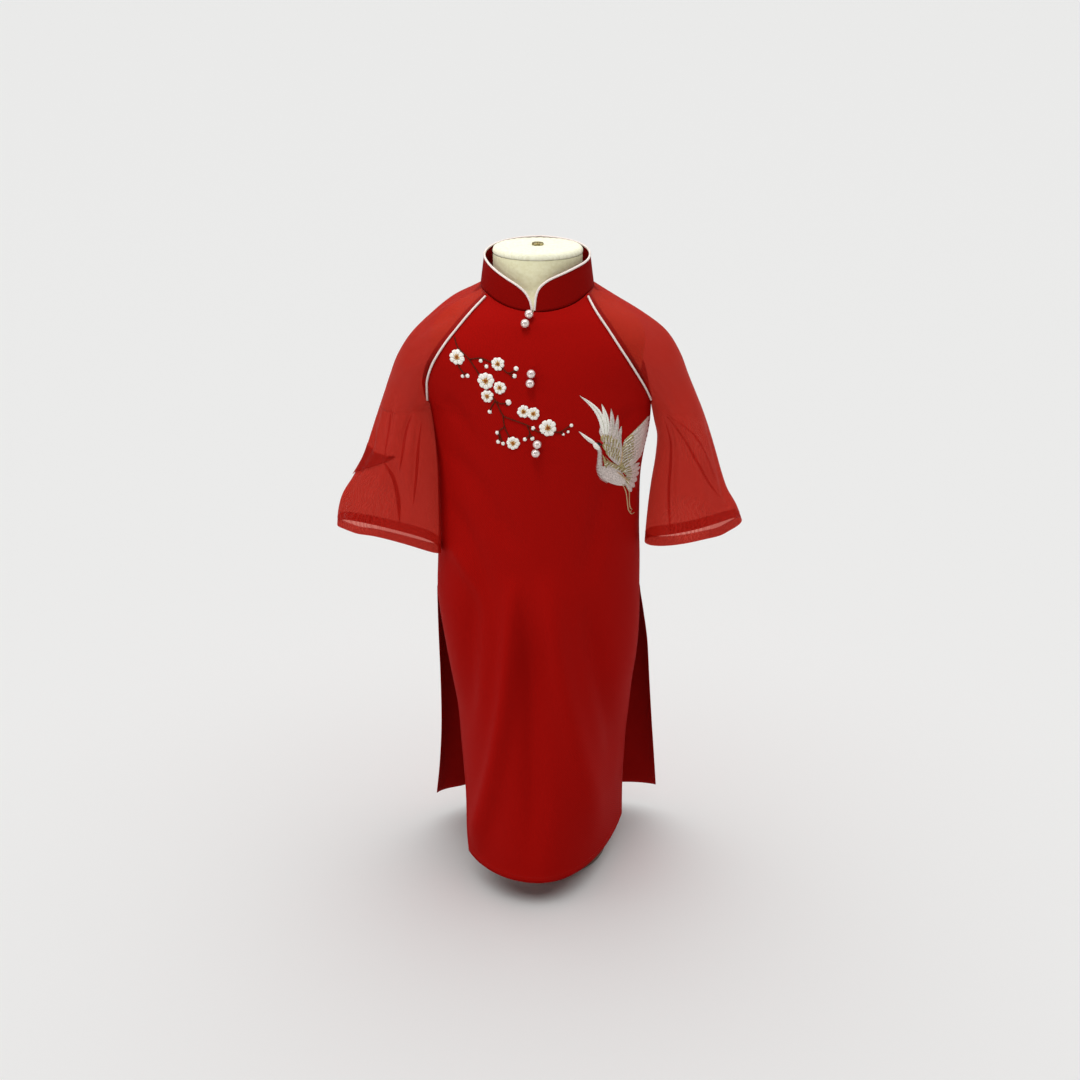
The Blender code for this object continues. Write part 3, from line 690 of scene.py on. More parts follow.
frontPoints = panelPoints(frontPanel)
front = addCloth("frontPanelCloth", frontPoints, finishes["crepe"], "crepe", frontPanel["wall"])
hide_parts("front_panel")
frontTree = BVHTree.FromPolygons(
    (frontPoints.reshape(-1, 3) * mm).tolist(),
    gridFaces(*frontPoints.shape[:2]).tolist(),
)
print("front panel made")


# Back panel, in the same way
backPanel = {
    "wall": 0.7,
    "columns": 130,
    "stepsEachLevel": 10,
    "side": -1,
    "slitTop": 365,
    "hemTurn": 8.0,
    "levels": (
        ("edgeHeight", "midHeight", "leftX", "rightX", "leftY", "rightY", "midY", "edgeAngle"),
        (722.3, 724.5, 51.0, 51.0, 14, 14, 43.3, 55),
        (705.0, 709.0, 66.0, 63.0, 28, 28, 56.0, 52),
        (685.0, 690.0, 82.0, 78.0, 34, 34, 64.0, 50),
        (665.0, 668.0, 97.0, 93.0, 38, 38, 68.5, 50),
        (642.0, 643.0, 110.0, 106.5, 32, 32, 71.5, 56),
        (617.0, 617.0, 119.0, 118.0, 17, 17, 73.0, 66),
        (597.0, 597.0, 122.0, 124.5, -1, -1, 73.5, 77),
        (583.0, 583.0, 121.5, 127.0, -25, -25, 73.0, 90),
        (560.0, 560.0, 118.5, 125.5, -25, -25, 71.5, 90),
        (530.0, 530.0, 116.0, 120.0, -25, -25, 68.0, 90),
        (500.0, 500.0, 115.0, 116.6, -25, -25, 65.0, 90),
        (450.0, 450.0, 115.0, 116.5, -25, -25, 66.0, 90),
        (405.0, 405.0, 116.5, 118.0, -25, -25, 70.0, 90),
        (365.0, 365.0, 118.0, 118.5, -25, -25, 75.0, 90),
        (325.0, 325.0, 118.8, 124.5, -15, -14, 80.0, 90),
        (280.0, 280.0, 119.2, 131.0, -1, 2, 86.0, 88),
        (220.0, 220.0, 119.5, 136.0, 18, 24, 93.0, 86),
        (150.0, 150.0, 121.0, 142.0, 37, 48, 101.0, 84),
        (90.0, 90.0, 125.0, 147.5, 51, 67, 108.0, 82),
        (39.0, 29.0, 130.5, 152.0, 60, 82, 114.0, 80),
    ),
    "creases": (
        {"line": ((-38, 520), (-44, 380), (-54, 220), (-68, 30)),
         "rise": 4.0, "halfWidth": 22, "fade": (0.3, 0)},
        {"line": ((34, 540), (38, 380), (44, 220), (54, 30)),
         "rise": 4.4, "halfWidth": 22, "fade": (0.3, 0)},
        {"line": ((-2, 470), (-4, 340), (-6, 200), (-8, 30)),
         "rise": -3.4, "halfWidth": 20, "fade": (0.35, 0)},
        {"line": ((82, 430), (92, 300), (100, 180), (108, 30)),
         "rise": -2.8, "halfWidth": 14, "fade": (0.3, 0)},
        {"line": ((-84, 440), (-88, 300), (-96, 160), (-104, 30)),
         "rise": -2.6, "halfWidth": 14, "fade": (0.3, 0)},
        {"line": ((-98, 590), (-66, 552), (-38, 520)),
         "rise": -1.4, "halfWidth": 12, "fade": (0.2, 0.5)},
        {"line": ((100, 596), (70, 548), (40, 515)),
         "rise": -1.5, "halfWidth": 12, "fade": (0.2, 0.5)},
        {"line": ((-92, 520), (-50, 498), (0, 505), (46, 492)),
         "rise": -1.2, "halfWidth": 10, "fade": (0.3, 0.4)},
    ),
}

backPoints = panelPoints(backPanel)
back = addCloth("backPanelCloth", backPoints, finishes["crepe"], "crepe", backPanel["wall"])
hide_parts("back_panel")
print("back panel made")


# Sleeves. Above the armpit they run between the raglan seams, below it they are oval
# tubes. Creases are lines of (angle round the oval, row), 90 being the outermost line.
sleeves = {
    "columns": 150,
    "stepsEachLevel": 14,
    "armpitRow": 7,
    "underarmDepth": 41.13,
    "armpitDepth": 40.0,
    "hemTurn": 11.0,
    "lastRow": 14.0,
    "lastRowHeight": 21.0,  # mm, about, between the last two rows
    "rowReach": 14.0,       # how many degrees one row counts as, where a crease fades sideways
    "clothAround": 260,     # mm, about, round the sleeve
    "seamFade": 20,         # mm, creases die out over this beside a raglan seam
    "offSeam": 0.3,         # mm that a sleeve stands off from the panels
    "raglan": (
        ("leftX", "rightX", "y", "height", "startAngle"),
        (61.5, 59.5, -22, 720.2, 57),
        (94.0, 87.0, -22, 704.0, 50),
        (117.5, 117.5, -22, 686.0, 42),
        (140.0, 143.0, -22, 666.0, 18),
        (156.0, 158.5, -22, 642.0, -8),
        (166.0, 168.5, -22, 617.0, -27),
        (173.0, 177.0, -23, 597.0, -56),
        (178.0, 183.0, -25, 583.0, -90),
    ),
    "tubes": {
        "left": (
            ("innerHeight", "outerHeight", "innerX", "outerX", "y", "halfDepth", "frontLift", "backDrop"),
            (583, 583, 121.5, 178.0, -25, 40.0, 0.0, 0.0),
            (566, 566, 120.8, 184.0, -33, 40.5, 0.0, 0.0),
            (545, 547, 117.8, 190.5, -42, 41.0, 1.0, 0.5),
            (518, 526, 115.0, 198.0, -48, 41.0, 2.5, 1.0),
            (492, 506, 114.0, 209.0, -52, 41.0, 4.5, 2.0),
            (467, 487, 113.6, 221.0, -54, 41.0, 7.0, 3.5),
            (443, 469, 113.3, 226.5, -55, 40.5, 9.5, 5.0),
            (420, 451, 113.0, 228.5, -56, 40.0, 12.0, 6.0),
        ),
        "right": (
            ("innerHeight", "outerHeight", "innerX", "outerX", "y", "halfDepth", "frontLift", "backDrop"),
            (583, 583, 127.0, 183.0, -25, 40.0, 0.0, 0.0),
            (566, 566, 130.5, 189.5, -27, 40.0, 0.0, 0.5),
            (545, 547, 134.5, 196.0, -29, 39.5, 0.0, 1.5),
            (520, 526, 132.5, 202.5, -32, 39.0, 0.0, 3.5),
            (495, 506, 128.5, 208.5, -36, 38.5, 0.0, 6.0),
            (470, 487, 125.5, 215.5, -39, 38.0, 0.0, 8.5),
            (447, 469, 123.5, 226.0, -41, 37.0, 0.0, 11.0),
            (424, 451, 122.0, 233.0, -42, 36.0, 0.0, 14.0),
        ),
    },
    "left": (
        {"line": ((18, 5.5), (14, 8), (20, 11), (30, 14)), "rise": 4.0, "halfWidth": 11, "fade": (0.3, 0)},
        {"line": ((66, 6), (70, 9), (66, 12), (62, 14)), "rise": -2.6, "halfWidth": 11, "fade": (0.3, 0)},
        {"line": ((132, 6), (128, 10), (118, 14)), "rise": 2.8, "halfWidth": 14, "fade": (0.3, 0)},
        {"line": ((30, 5.6), (24, 7.4), (20, 9.0)), "rise": -3.4, "halfWidth": 6, "fade": (0.4, 0.4)},
        {"line": ((-24, 6.6), (-12, 8.0), (-4, 9.6)), "rise": -3.2, "halfWidth": 6, "fade": (0.4, 0.4)},
        {"line": ((-38, 7.6), (-30, 9.6), (-28, 11.6)), "rise": -2.6, "halfWidth": 6, "fade": (0.4, 0.4)},
        {"line": ((24, 9.0), (0, 10.2), (-14, 11.4), (-18, 12.6)),
         "rise": -3.6, "halfWidth": 6, "fade": (0.3, 0.3)},
        {"line": ((88, 8.4), (64, 9.1), (42, 9.4)), "rise": -3.4, "halfWidth": 8, "fade": (0.3, 0.5)},
        {"line": ((70, 0.3), (74, 1.2), (78, 2.4)), "rise": 3.4, "halfWidth": 6, "fade": (0.3, 0.5)},
        {"line": ((86, 0.2), (88, 1.2), (90, 2.6)), "rise": -2.4, "halfWidth": 6, "fade": (0.3, 0.5)},
        {"line": ((60, 1.0), (62, 2.2), (56, 3.4)), "rise": -2.6, "halfWidth": 6, "fade": (0.3, 0.5)},
        {"line": ((106, 0.2), (102, 1.6), (98, 3.0)), "rise": 2.6, "halfWidth": 8, "fade": (0.3, 0.5)},
        {"line": ((-68, 6.7), (-66, 14)), "rise": 6.0, "halfWidth": 20, "fade": (0.06, 0)},
        {"line": ((292, 6.7), (294, 14)), "rise": 6.0, "halfWidth": 20, "fade": (0.06, 0)},
    ),
    "right": (
        {"line": ((14, 5.5), (18, 8), (20, 11), (28, 14)), "rise": 3.4, "halfWidth": 12, "fade": (0.3, 0)},
        {"line": ((-28, 6.6), (-30, 10), (-24, 13.6)), "rise": -3.4, "halfWidth": 7, "fade": (0.3, 0.2)},
        {"line": ((130, 6), (126, 10), (118, 14)), "rise": 2.6, "halfWidth": 14, "fade": (0.3, 0)},
        {"line": ((-30, 7.2), (0, 8.8), (30, 10.6), (52, 12.0)),
         "rise": -3.8, "halfWidth": 6, "fade": (0.2, 0.4)},
        {"line": ((-26, 7.0), (12, 8.0), (36, 9.6), (54, 11.2)),
         "rise": 3.0, "halfWidth": 6, "fade": (0.2, 0.4)},
        {"line": ((74, 7.4), (70, 10), (60, 13.6)), "rise": -2.6, "halfWidth": 10, "fade": (0.3, 0.2)},
        {"line": ((20, 4.2), (2, 5.4), (-14, 6.6)), "rise": -2.6, "halfWidth": 7, "fade": (0.3, 0.3)},
        {"line": ((72, 0.4), (78, 1.4), (82, 2.8)), "rise": -2.0, "halfWidth": 7, "fade": (0.3, 0.5)},
    ),
    # a tuck across the left elbow, where the stiff cloth has folded over itself
    "tuck": {
        "outerAngle": 102,
        "innerAngle": 4,
        "topRows": (9.25, 9.25),
        "lowRows": (11.0, 9.34),
        "columns": 60,
        "standOff": 0.4,
        "rise": 1.5,
        # shares of the way down where each layer starts and ends, its steps, its share of the lift
        "layers": ((0.0, 1.0, 13, 1.0), (0.97, 0.05, 9, 0.65), (0.1, 0.94, 9, 0.4)),
    },
    # narrow strips of the sheer cloth laid along the sharpest creases, a painted shade that darkens each
    # crease; each a line and a width
    "creaseShadeStrip": {"stepsEachPoint": 16, "columns": 7, "standOff": 0.35, "dome": 0.5},
    "folds": {
        "left": (
            (((30, 7.05), (24, 8.0), (20, 9.4)), 4.5),
            (((-22, 7.05), (-12, 8.2), (-4, 10.0)), 5.0),
            (((26, 9.3), (2, 10.4), (-12, 11.6), (-16, 12.8)), 6.0),
            (((-44, 7.6), (-34, 9.6), (-30, 11.6)), 4.0),
        ),
        "right": (
            (((-30, 7.2), (0, 8.8), (30, 10.6), (50, 12.0)), 4.5),
            (((-26, 7.05), (12, 8.0), (36, 9.6), (52, 11.0)), 4.0),
            (((-36, 7.6), (-36, 10.0), (-30, 13.4)), 4.5),
        ),
    },
}


def sleeveSurface(hand, around, t, grow=0.0):
    # around runs from 0 at the front seam to 1 at the back one, t counts the levels down
    outward = sideOf[hand]
    sideX = hand + "X"
    top = np.minimum(t, sleeves["armpitRow"])
    low = np.maximum(t - sleeves["armpitRow"], 0)
    front = readRows(frontPanel["levels"], top)
    rear = readRows(backPanel["levels"], top)
    ridge = readRows(sleeves["raglan"], top)
    tube = readRows(sleeves["tubes"][hand], low)
    above = (t <= sleeves["armpitRow"])[..., None]
    start = np.stack([outward * front[sideX], front[hand + "Y"], front["edgeHeight"]], axis=-1)
    end = np.stack([outward * rear[sideX], rear[hand + "Y"], rear["edgeHeight"]], axis=-1)
    crown = np.stack([outward * ridge[sideX], ridge["y"], ridge["height"]], axis=-1)
    inner = np.stack([outward * tube["innerX"], tube["y"], tube["innerHeight"]], axis=-1)
    outer = np.stack([outward * tube["outerX"], tube["y"], tube["outerHeight"]], axis=-1)
    firstAngle = np.where(above[..., 0], np.radians(ridge["startAngle"]), -math.pi / 2)
    middle = np.where(above, (start + end) / 2, inner)
    crown = np.where(above, crown, outer)
    halfChord = (start - end) / 2
    # just above the armpit the oval keeps its depth while its opening closes
    under = t - (sleeves["armpitRow"] - 1)
    depth = sleeves["underarmDepth"] + (sleeves["armpitDepth"] - sleeves["underarmDepth"]) * under
    chordShare = np.clip(np.linalg.norm(halfChord, axis=-1) / depth, 0, 1)
    firstAngle = np.where(above[..., 0] & (under > 0), -np.arccos(chordShare), firstAngle)
    opened = np.maximum(np.cos(firstAngle), 1e-3)[..., None]
    closedDepth = np.stack([0 * t, -tube["halfDepth"], 0 * t], axis=-1)
    seamed = above & (np.linalg.norm(halfChord, axis=-1, keepdims=True) > 0.3)
    forward = np.where(seamed, halfChord / opened, closedDepth)
    across = (crown - middle) / (1 - np.sin(firstAngle))[..., None]
    centre = crown - across
    angle = firstAngle + (math.pi - 2 * firstAngle) * around
    lift = np.zeros(t.shape) + grow
    for crease in sleeves[hand]:
        lift = lift + creaseLift(np.degrees(angle), t, {"squash": sleeves["rowReach"], **crease})
    seamSide = np.minimum(around, 1 - around) * sleeves["clothAround"]
    lift = np.where(above[..., 0], lift * softStep(seamSide / sleeves["seamFade"]), lift)
    reachForward = np.maximum(np.linalg.norm(forward, axis=-1), 1)
    reachAcross = np.maximum(np.linalg.norm(across, axis=-1), 1)
    points = (
        centre
        + forward * (np.cos(angle) * (1 + lift / reachForward))[..., None]
        + across * (np.sin(angle) * (1 + lift / reachAcross))[..., None]
    )
    points[..., 0] += outward * sleeves["offSeam"]
    points[..., 2] += tube["frontLift"] * np.maximum(0, np.cos(angle)) ** 2
    points[..., 2] -= tube["backDrop"] * np.minimum(0, np.cos(angle)) ** 2
    return points


def sleevePoints(hand, firstRow=0.0, grow=0.0, steps=None):
    steps = steps or int((sleeves["lastRow"] - firstRow) * sleeves["stepsEachLevel"])
    rows = np.linspace(firstRow, sleeves["lastRow"], steps + 1)
    spread = np.linspace(0, 1, sleeves["columns"] + 1)
    around, t = np.meshgrid(spread, rows)
    return sleeveSurface(hand, around, t, grow)


def tuckPoints(tuck):
    # three layers: down over the sleeve, under and back up, then down again
    drop = np.concatenate([np.linspace(start, end, count) for start, end, count, _ in tuck["layers"]])
    share = np.concatenate([np.full(count, part) for _, _, count, part in tuck["layers"]])
    a, d = np.meshgrid(np.linspace(0, 1, tuck["columns"] + 1), drop)
    angle = tuck["outerAngle"] + (tuck["innerAngle"] - tuck["outerAngle"]) * a
    topRow = tuck["topRows"][0] + (tuck["topRows"][1] - tuck["topRows"][0]) * a
    lowRow = tuck["lowRows"][0] + (tuck["lowRows"][1] - tuck["lowRows"][0]) * a
    lift = (tuck["standOff"] + tuck["rise"] * softStep(d) * softStep((1 - a) * 3)) * share[:, None]
    return sleeveSurface("left", (angle + 90) / 360, topRow + (lowRow - topRow) * d, lift)


def creaseShadePoints(hand, line, width):
    # a narrow strip along a sharp crease, laid on as painted shade, its line given as (angle, row)
    strip = sleeves["creaseShadeStrip"]
    spine = curveThrough(line, strip["stepsEachPoint"])
    half = width / 2 * np.sin(math.pi * np.linspace(0, 1, len(spine))) ** 0.7
    side = np.linspace(-1, 1, strip["columns"])
    # a millimetre over the sleeve is about a degree round it
    angle = spine[:, :1] + half[:, None] * side
    row = np.repeat(spine[:, 1:], strip["columns"], axis=1)
    lift = strip["standOff"] + strip["dome"] * (1 - side**2) * np.ones(angle.shape)
    return sleeveSurface(hand, (angle + 90) / 360, row, lift)


sleeveCreaseShades = {"left": [], "right": []}
for hand in ("left", "right"):
    cloth = addCloth("sleeveCloth_" + hand, sleevePoints(hand), finishes["organza"], "organza")
    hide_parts("sleeve_" + hand)
    # the hem is turned up inside, so two layers show there
    bandTop = sleeves["lastRow"] - sleeves["hemTurn"] / sleeves["lastRowHeight"]
    addCloth("sleeveHem_" + hand, sleevePoints(hand, bandTop, -0.6, 8),
                              finishes["organza"], "organza")
    print("sleeve made,", hand)

elbowTuck = addCloth("sleeveTuck_left", tuckPoints(sleeves["tuck"]), finishes["organza"], "organza")
# strips of painted shade along the sharpest creases of each sleeve
for hand, folds in sleeves["folds"].items():
    for number, (line, width) in enumerate(folds, 1):
        strip = addCloth(f"sleeveCreaseShade_{hand}_{number}", creaseShadePoints(hand, line, width),
                         finishes["organza"], "organza")
        sleeveCreaseShades[hand].append(strip)
print("sleeve folds made")


# Collar, a stand-up band with rounded fronts, bound along its edge
collar = {
    "wall": 0.9,
    "rows": 14,
    "stepsEachPoint": 12,
    "neckX": -1.0,
    "neckY": -23.0,
    "halfWidth": 62.5,
    "halfDepth": 66.5,
    "lean": 6.0,
    "leanHeight": 46.0,
    "openAngle": -4.0,
    "pipingRadius": 1.25,
    "seam": ((0, 704.0), (27, 707.5), (43, 711.8), (60, 717.3), (90, 720.6), (120, 722.6),
             (150, 724.2), (180, 724.8)),
    "edge": (
        ("leftAngle", "leftHeight", "rightAngle", "rightHeight"),
        (1.25, 705.6, 1.25, 705.6),
        (2.1, 711.0, 1.8, 712.5),
        (3.8, 716.5, 2.7, 719.5),
        (8.5, 724.2, 4.9, 726.5),
        (17.6, 731.2, 9.6, 732.4),
        (31.0, 737.4, 18.5, 738.0),
        (48.0, 744.0, 33.6, 743.0),
        (65.0, 749.2, 52.0, 747.5),
        (80.0, 752.0, 72.0, 750.6),
        (100.0, 755.0, 96.0, 754.0),
        (140.0, 759.2, 138.0, 758.8),
        (180.0, 761.0, 180.0, 761.0),
    ),
}


def seamHeight(angle):
    turn = np.abs(np.asarray(angle, float))
    turn = np.minimum(turn, 360 - turn)
    seam = np.array(collar["seam"], float)
    return np.interp(turn, seam[:, 0], seam[:, 1])


def neckPoint(angle, height):
    base = seamHeight(angle)
    lean = collar["lean"] * np.maximum(0, height - base) / collar["leanHeight"]
    turn = np.radians(angle)
    return np.stack([
        collar["neckX"] + (collar["halfWidth"] - lean) * np.sin(turn),
        collar["neckY"] - (collar["halfDepth"] - lean) * np.cos(turn),
        height + 0 * turn,
    ], axis=-1)


def collarEdge():
    last = len(collar["edge"]) - 2
    row = readRows(collar["edge"], np.linspace(0, last, last * collar["stepsEachPoint"] + 1))
    left = np.stack([collar["openAngle"] - row["leftAngle"], row["leftHeight"]], axis=-1)
    right = np.stack([collar["openAngle"] + row["rightAngle"] - 360, row["rightHeight"]], axis=-1)
    return np.vstack([left, right[-2::-1]])


collarLine = collarEdge()
arc = math.radians(1) * (collar["halfWidth"] + collar["halfDepth"]) / 2
run = np.gradient(collarLine[:, 0]) * arc
climb = np.gradient(collarLine[:, 1])
slope = np.hypot(run, climb)
inset = collar["pipingRadius"] * 0.75
collarTopAngle = collarLine[:, 0] - inset * climb / slope / arc
collarTopHeight = collarLine[:, 1] + inset * run / slope
base = seamHeight(collarTopAngle) + 0.3
share = np.linspace(0, 1, collar["rows"] + 1)[:, None]
collarHeights = collarTopHeight + (base - collarTopHeight) * share
collarAngles = np.repeat(collarTopAngle[None, :], collar["rows"] + 1, axis=0)
collarPoints = neckPoint(collarAngles, collarHeights)
# the collar is made in the darker copy of the crepe, a painted shade
collarCloth = addCloth("collarCloth", collarPoints, finishes["crepePaintedShade"], "crepe", collar["wall"])
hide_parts("collar")

pipingLine = neckPoint(collarLine[:, 0], collarLine[:, 1])
toMiddle = np.array([collar["neckX"], collar["neckY"], 0.0]) - pipingLine
toMiddle[:, 2] = 0
pipingLine = pipingLine + unit(toMiddle) * 0.5
collarPiping = addTube("collarPipingCord", pipingLine, collar["pipingRadius"], finishes["piping"])
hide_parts("collar_piping")
print("collar made")


# Piping down the raglan seams, on the panel just inside its edge
raglanPiping = {"radius": 1.25, "inset": 3.2, "rise": 1.5, "firstRow": 0.15, "lastRow": 6.1, "steps": 120}

for hand in ("left", "right"):
    t = np.linspace(raglanPiping["firstRow"], raglanPiping["lastRow"], raglanPiping["steps"] + 1)
    one = np.ones(t.shape) * sideOf[hand]
    edge = panelSurface(frontPanel, one, t)
    edgeStep = 0.02
    width = np.linalg.norm(edge - panelSurface(frontPanel, one * (1 - edgeStep), t), axis=-1)
    across = one * (1 - raglanPiping["inset"] * edgeStep / width)
    cordLine = panelLine(frontPanel, across, t, raglanPiping["rise"], 0.01)
    cord = addTube("raglanPiping_" + hand, cordLine, raglanPiping["radius"], finishes["piping"])
    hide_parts("piping_" + hand)
print("raglan piping made")


# Seam allowances, pressed open inside the seams, so that no light comes through them
seams = {
    "panelSide": 5.0,
    "otherSide": 6.0,
    "depth": 1.1,
    "neckHeights": (3.0, -1.0, -5.0),  # from the neck seam
    "neckDepth": 1.3,
}


def addSeamTape(name, edge, toPanel, toOther, inward, material):
    # a strip under both edges of a seam: edge is its line, the rest are directions along it
    strip = np.stack([
        edge + toPanel * seams["panelSide"] + inward * seams["depth"],
        edge + toPanel * 1.0 + inward * seams["depth"],
        edge + toOther * 1.0 + inward * seams["depth"],
        edge + toOther * seams["otherSide"] + inward * seams["depth"],
    ], axis=1)
    return addCloth(name, strip, material, "crepe")


for hand, sign in sideOf.items():
    for panel, word, seamSide in ((frontPanel, "front", 0.0), (backPanel, "back", 1.0)):
        t = np.linspace(0.05, 6.9, 90)
        one = np.ones(t.shape) * sign
        edge = panelSurface(panel, one, t)
        toPanel = unit(panelSurface(panel, one * 0.96, t) - edge)
        near = np.abs(seamSide - np.full(t.shape, 0.03))
        toSleeve = unit(sleeveSurface(hand, near, t) - edge)
        middle = np.stack([0 * t, 0 * t - 22.0, edge[:, 2]], axis=-1)
        inward = unit(middle - edge)
        addSeamTape(f"raglanAllowance_{word}_{hand}", edge, toPanel, toSleeve, inward, finishes["crepe"])
    t = np.linspace(7.0, 13.0, 80)
    one = np.ones(t.shape) * sign
    edge = panelSurface(frontPanel, one, t)
    ahead = np.repeat(np.array([[0.0, -1.0, 0.0]]), len(t), axis=0)
    inward = np.repeat(np.array([[-sign, 0.0, 0.0]]), len(t), axis=0)
    addSeamTape("sideSeamAllowance_" + hand, edge, ahead, -ahead, inward, finishes["crepe"])
neckAngles = np.linspace(collar["openAngle"] - 0.6, collar["openAngle"] - 359.4, 241)
neckHeights = seamHeight(neckAngles)
neckRing = np.stack([neckPoint(neckAngles, neckHeights + up) for up in seams["neckHeights"]], axis=0)
neckMiddle = np.array([collar["neckX"], collar["neckY"], 0.0]) - neckRing
neckMiddle[..., 2] = 0
neckRing = neckRing + unit(neckMiddle) * seams["neckDepth"]
# the neck seam allowance takes the same darker crepe with its painted shade
addCloth("neckSeamAllowance", neckRing, finishes["crepePaintedShade"], "crepe")
print("seam allowances made")


# Where things lie on the front: x and height to a point on the cloth and its normal
def onFront(x, height):
    hit, normal, _, _ = frontTree.ray_cast(Vector((x * mm, -1.0, height * mm)), Vector((0, 1, 0)))
    if hit is None:
        hit, normal, _, _ = frontTree.find_nearest(Vector((x * mm, -0.1, height * mm)))
    if normal.y > 0:
        normal = -normal
    return np.array(hit) / mm, np.array(normal)


def layOnFront(flat, lifts):
    # flat holds (x, height), lifts how far each point stands off the cloth
    shape = flat.shape[:-1]
    placed = []
    for (x, height), lift in zip(flat.reshape(-1, 2), lifts.reshape(-1)):
        spot, normal = onFront(x, height)
        placed.append(spot + normal * lift)
    return np.array(placed).reshape(*shape, 3)


# Pearls, three pairs of shank buttons down the front, each where its solid is
pearls = {"count": 6, "radius": 4.65, "rings": 25, "sides": 40}

for number in range(1, pearls["count"] + 1):
    low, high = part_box(f"pearl_{number}")
    middle = np.array((low + high) / 2) / mm
    ball = ballPoints(pearls["radius"], pearls["rings"], pearls["sides"]) + middle
    faces = gridFaces(pearls["rings"], pearls["sides"], closed=True)
    pearl = addMesh(f"pearlButton_{number}", ball.reshape(-1, 3), faces, finishes["pearl"], "pearl")
    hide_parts(f"pearl_{number}")
print("pearls made")


# Embroidery. Each kind of thread is one piece, gathered from small raised patches.
threadWork = {}


def addStitches(kind, points, closed=False):
    threadWork.setdefault(kind, []).append((points, closed))


def satinLeaf(kind, base, tip, width, bend=0.0, height=0.9, fullest=0.45, lines=22, across=6):
    # a leaf or feather of satin stitch from base to tip, bowed sideways by bend
    base, tip = np.array(base, float), np.array(tip, float)
    along = tip - base
    length = np.linalg.norm(along)
    direction = along / length
    sideways = np.array([-direction[1], direction[0]])
    s = np.linspace(0, 1, lines)
    v = np.linspace(-1, 1, across + 1)
    gap = np.where(s < fullest, s / fullest, (1 - s) / (1 - fullest))
    half = width / 2 * np.sin(np.clip(gap, 0, 1) * math.pi / 2) ** 0.8
    half = np.maximum(half, 0.12)
    centre = base + np.outer(s * length, direction) + np.outer(bend * np.sin(s * math.pi), sideways)
    wobble = 1 + 0.05 * np.where(np.arange(lines) % 2, 1, -1)
    flat = centre[:, None, :] + (half * wobble)[:, None, None] * v[None, :, None] * sideways
    dome = np.sqrt(np.clip(1 - v**2, 0, 1))
    ribs = 1 + 0.10 * np.where(np.arange(lines) % 2, 1, -1)
    full = np.clip(half / (width / 2), 0.25, 1)
    lifts = 0.12 + height * dome[None, :] * (full * ribs)[:, None]
    addStitches(kind, layOnFront(flat, lifts))


def satinDisc(kind, centre, radius, outline, height, columns=60, rings=6):
    # a round patch: outline gives the radius round it and height the rise, both by angle and share
    turn = np.linspace(0, 2 * math.pi, columns, endpoint=False)
    share = np.linspace(0.02, 1, rings + 1)
    s, a = np.meshgrid(share, turn, indexing="ij")
    reach = radius * outline(a) * s
    flat = np.stack([centre[0] + reach * np.cos(a), centre[1] + reach * np.sin(a)], axis=-1)
    addStitches(kind, layOnFront(flat, height(s, a)), closed=True)


def along(line, share):
    # points at these shares of a line's length in steps
    place = np.clip(share, 0, 1) * (len(line) - 1)
    number = np.arange(len(line))
    return np.stack([np.interp(place, number, line[:, c]) for c in range(line.shape[1])], axis=-1)


def satinFan(kind, edgeKind, fan, height, point=1.7, lines=36, perFeather=8):
    # a wing or tail, feather beside feather from a root line to a tip line, with a thread of edgeKind
    # between them, there a painted shade where the feathers meet
    feathers, bow, notch = fan["feathers"], fan["bow"], fan["notch"]
    rootLine, tipLine = curveThrough(fan["roots"], 12), curveThrough(fan["tips"], 12)
    v = np.linspace(0, 1, feathers * perFeather + 1)
    start, end = along(rootLine, v), along(tipLine, v)
    run = end - start
    sideways = unit(np.stack([-run[:, 1], run[:, 0]], axis=-1))
    across = 2 * ((v * feathers) % 1) - 1
    reach = np.linspace(0, 1, lines)[:, None] * (1 - notch * np.abs(across) ** point)[None, :]
    flat = start + run * reach[..., None] + (bow * np.sin(reach * math.pi))[..., None] * sideways
    dome = 0.4 + 0.6 * np.sqrt(1 - np.abs(across) ** 2)
    rise = 0.35 + 0.65 * np.sin(np.clip(reach * 1.15, 0, 1) * math.pi) ** 0.6
    ribs = 1 + 0.07 * np.where(np.arange(lines) % 2, 1, -1)
    addStitches(kind, layOnFront(flat, 0.15 + height * dome[None, :] * rise * ribs[:, None]))
    for k in range(feathers + 1):
        first, last = along(rootLine, k / feathers), along(tipLine, k / feathers)
        side = sideways[min(k * perFeather, len(sideways) - 1)]
        reachEnd = first + (last - first) * (1 - notch) + side * bow * 0.6
        satinLeaf(edgeKind, first + side * bow * 0.1, reachEnd, 0.9, bow * 0.5, height * 0.75, 0.4, 18, 4)


def threadLine(kind, points, radius, stitch=2.6, lift=0.35, twist=0.25):
    # stem stitch: short overlapping threads, each lying a little across the line
    line = curveThrough(points, 10)
    run = lengthAlong(line)
    count = max(2, int(run[-1] / stitch))
    for k in range(count):
        start = run[-1] * k / count
        end = min(run[-1], start + stitch * 1.5)
        places = np.linspace(start, end, 5)
        x = np.interp(places, run, line[:, 0])
        height = np.interp(places, run, line[:, 1])
        direction = unit(np.array([x[-1] - x[0], height[-1] - height[0]]))
        sideways = np.array([-direction[1], direction[0]])
        slip = np.linspace(-1, 1, 5) * radius * twist
        spine = np.stack([x, height], axis=-1) + slip[:, None] * sideways
        thick = radius * np.array([0.45, 0.95, 1.0, 0.95, 0.45])
        v = np.linspace(-1, 1, 5)
        flat = spine[:, None, :] + thick[:, None, None] * v[None, :, None] * sideways
        dome = np.sqrt(np.clip(1 - v**2, 0, 1))
        lifts = 0.1 + (lift + thick[:, None]) * dome[None, :]
        addStitches(kind, layOnFront(flat, lifts))


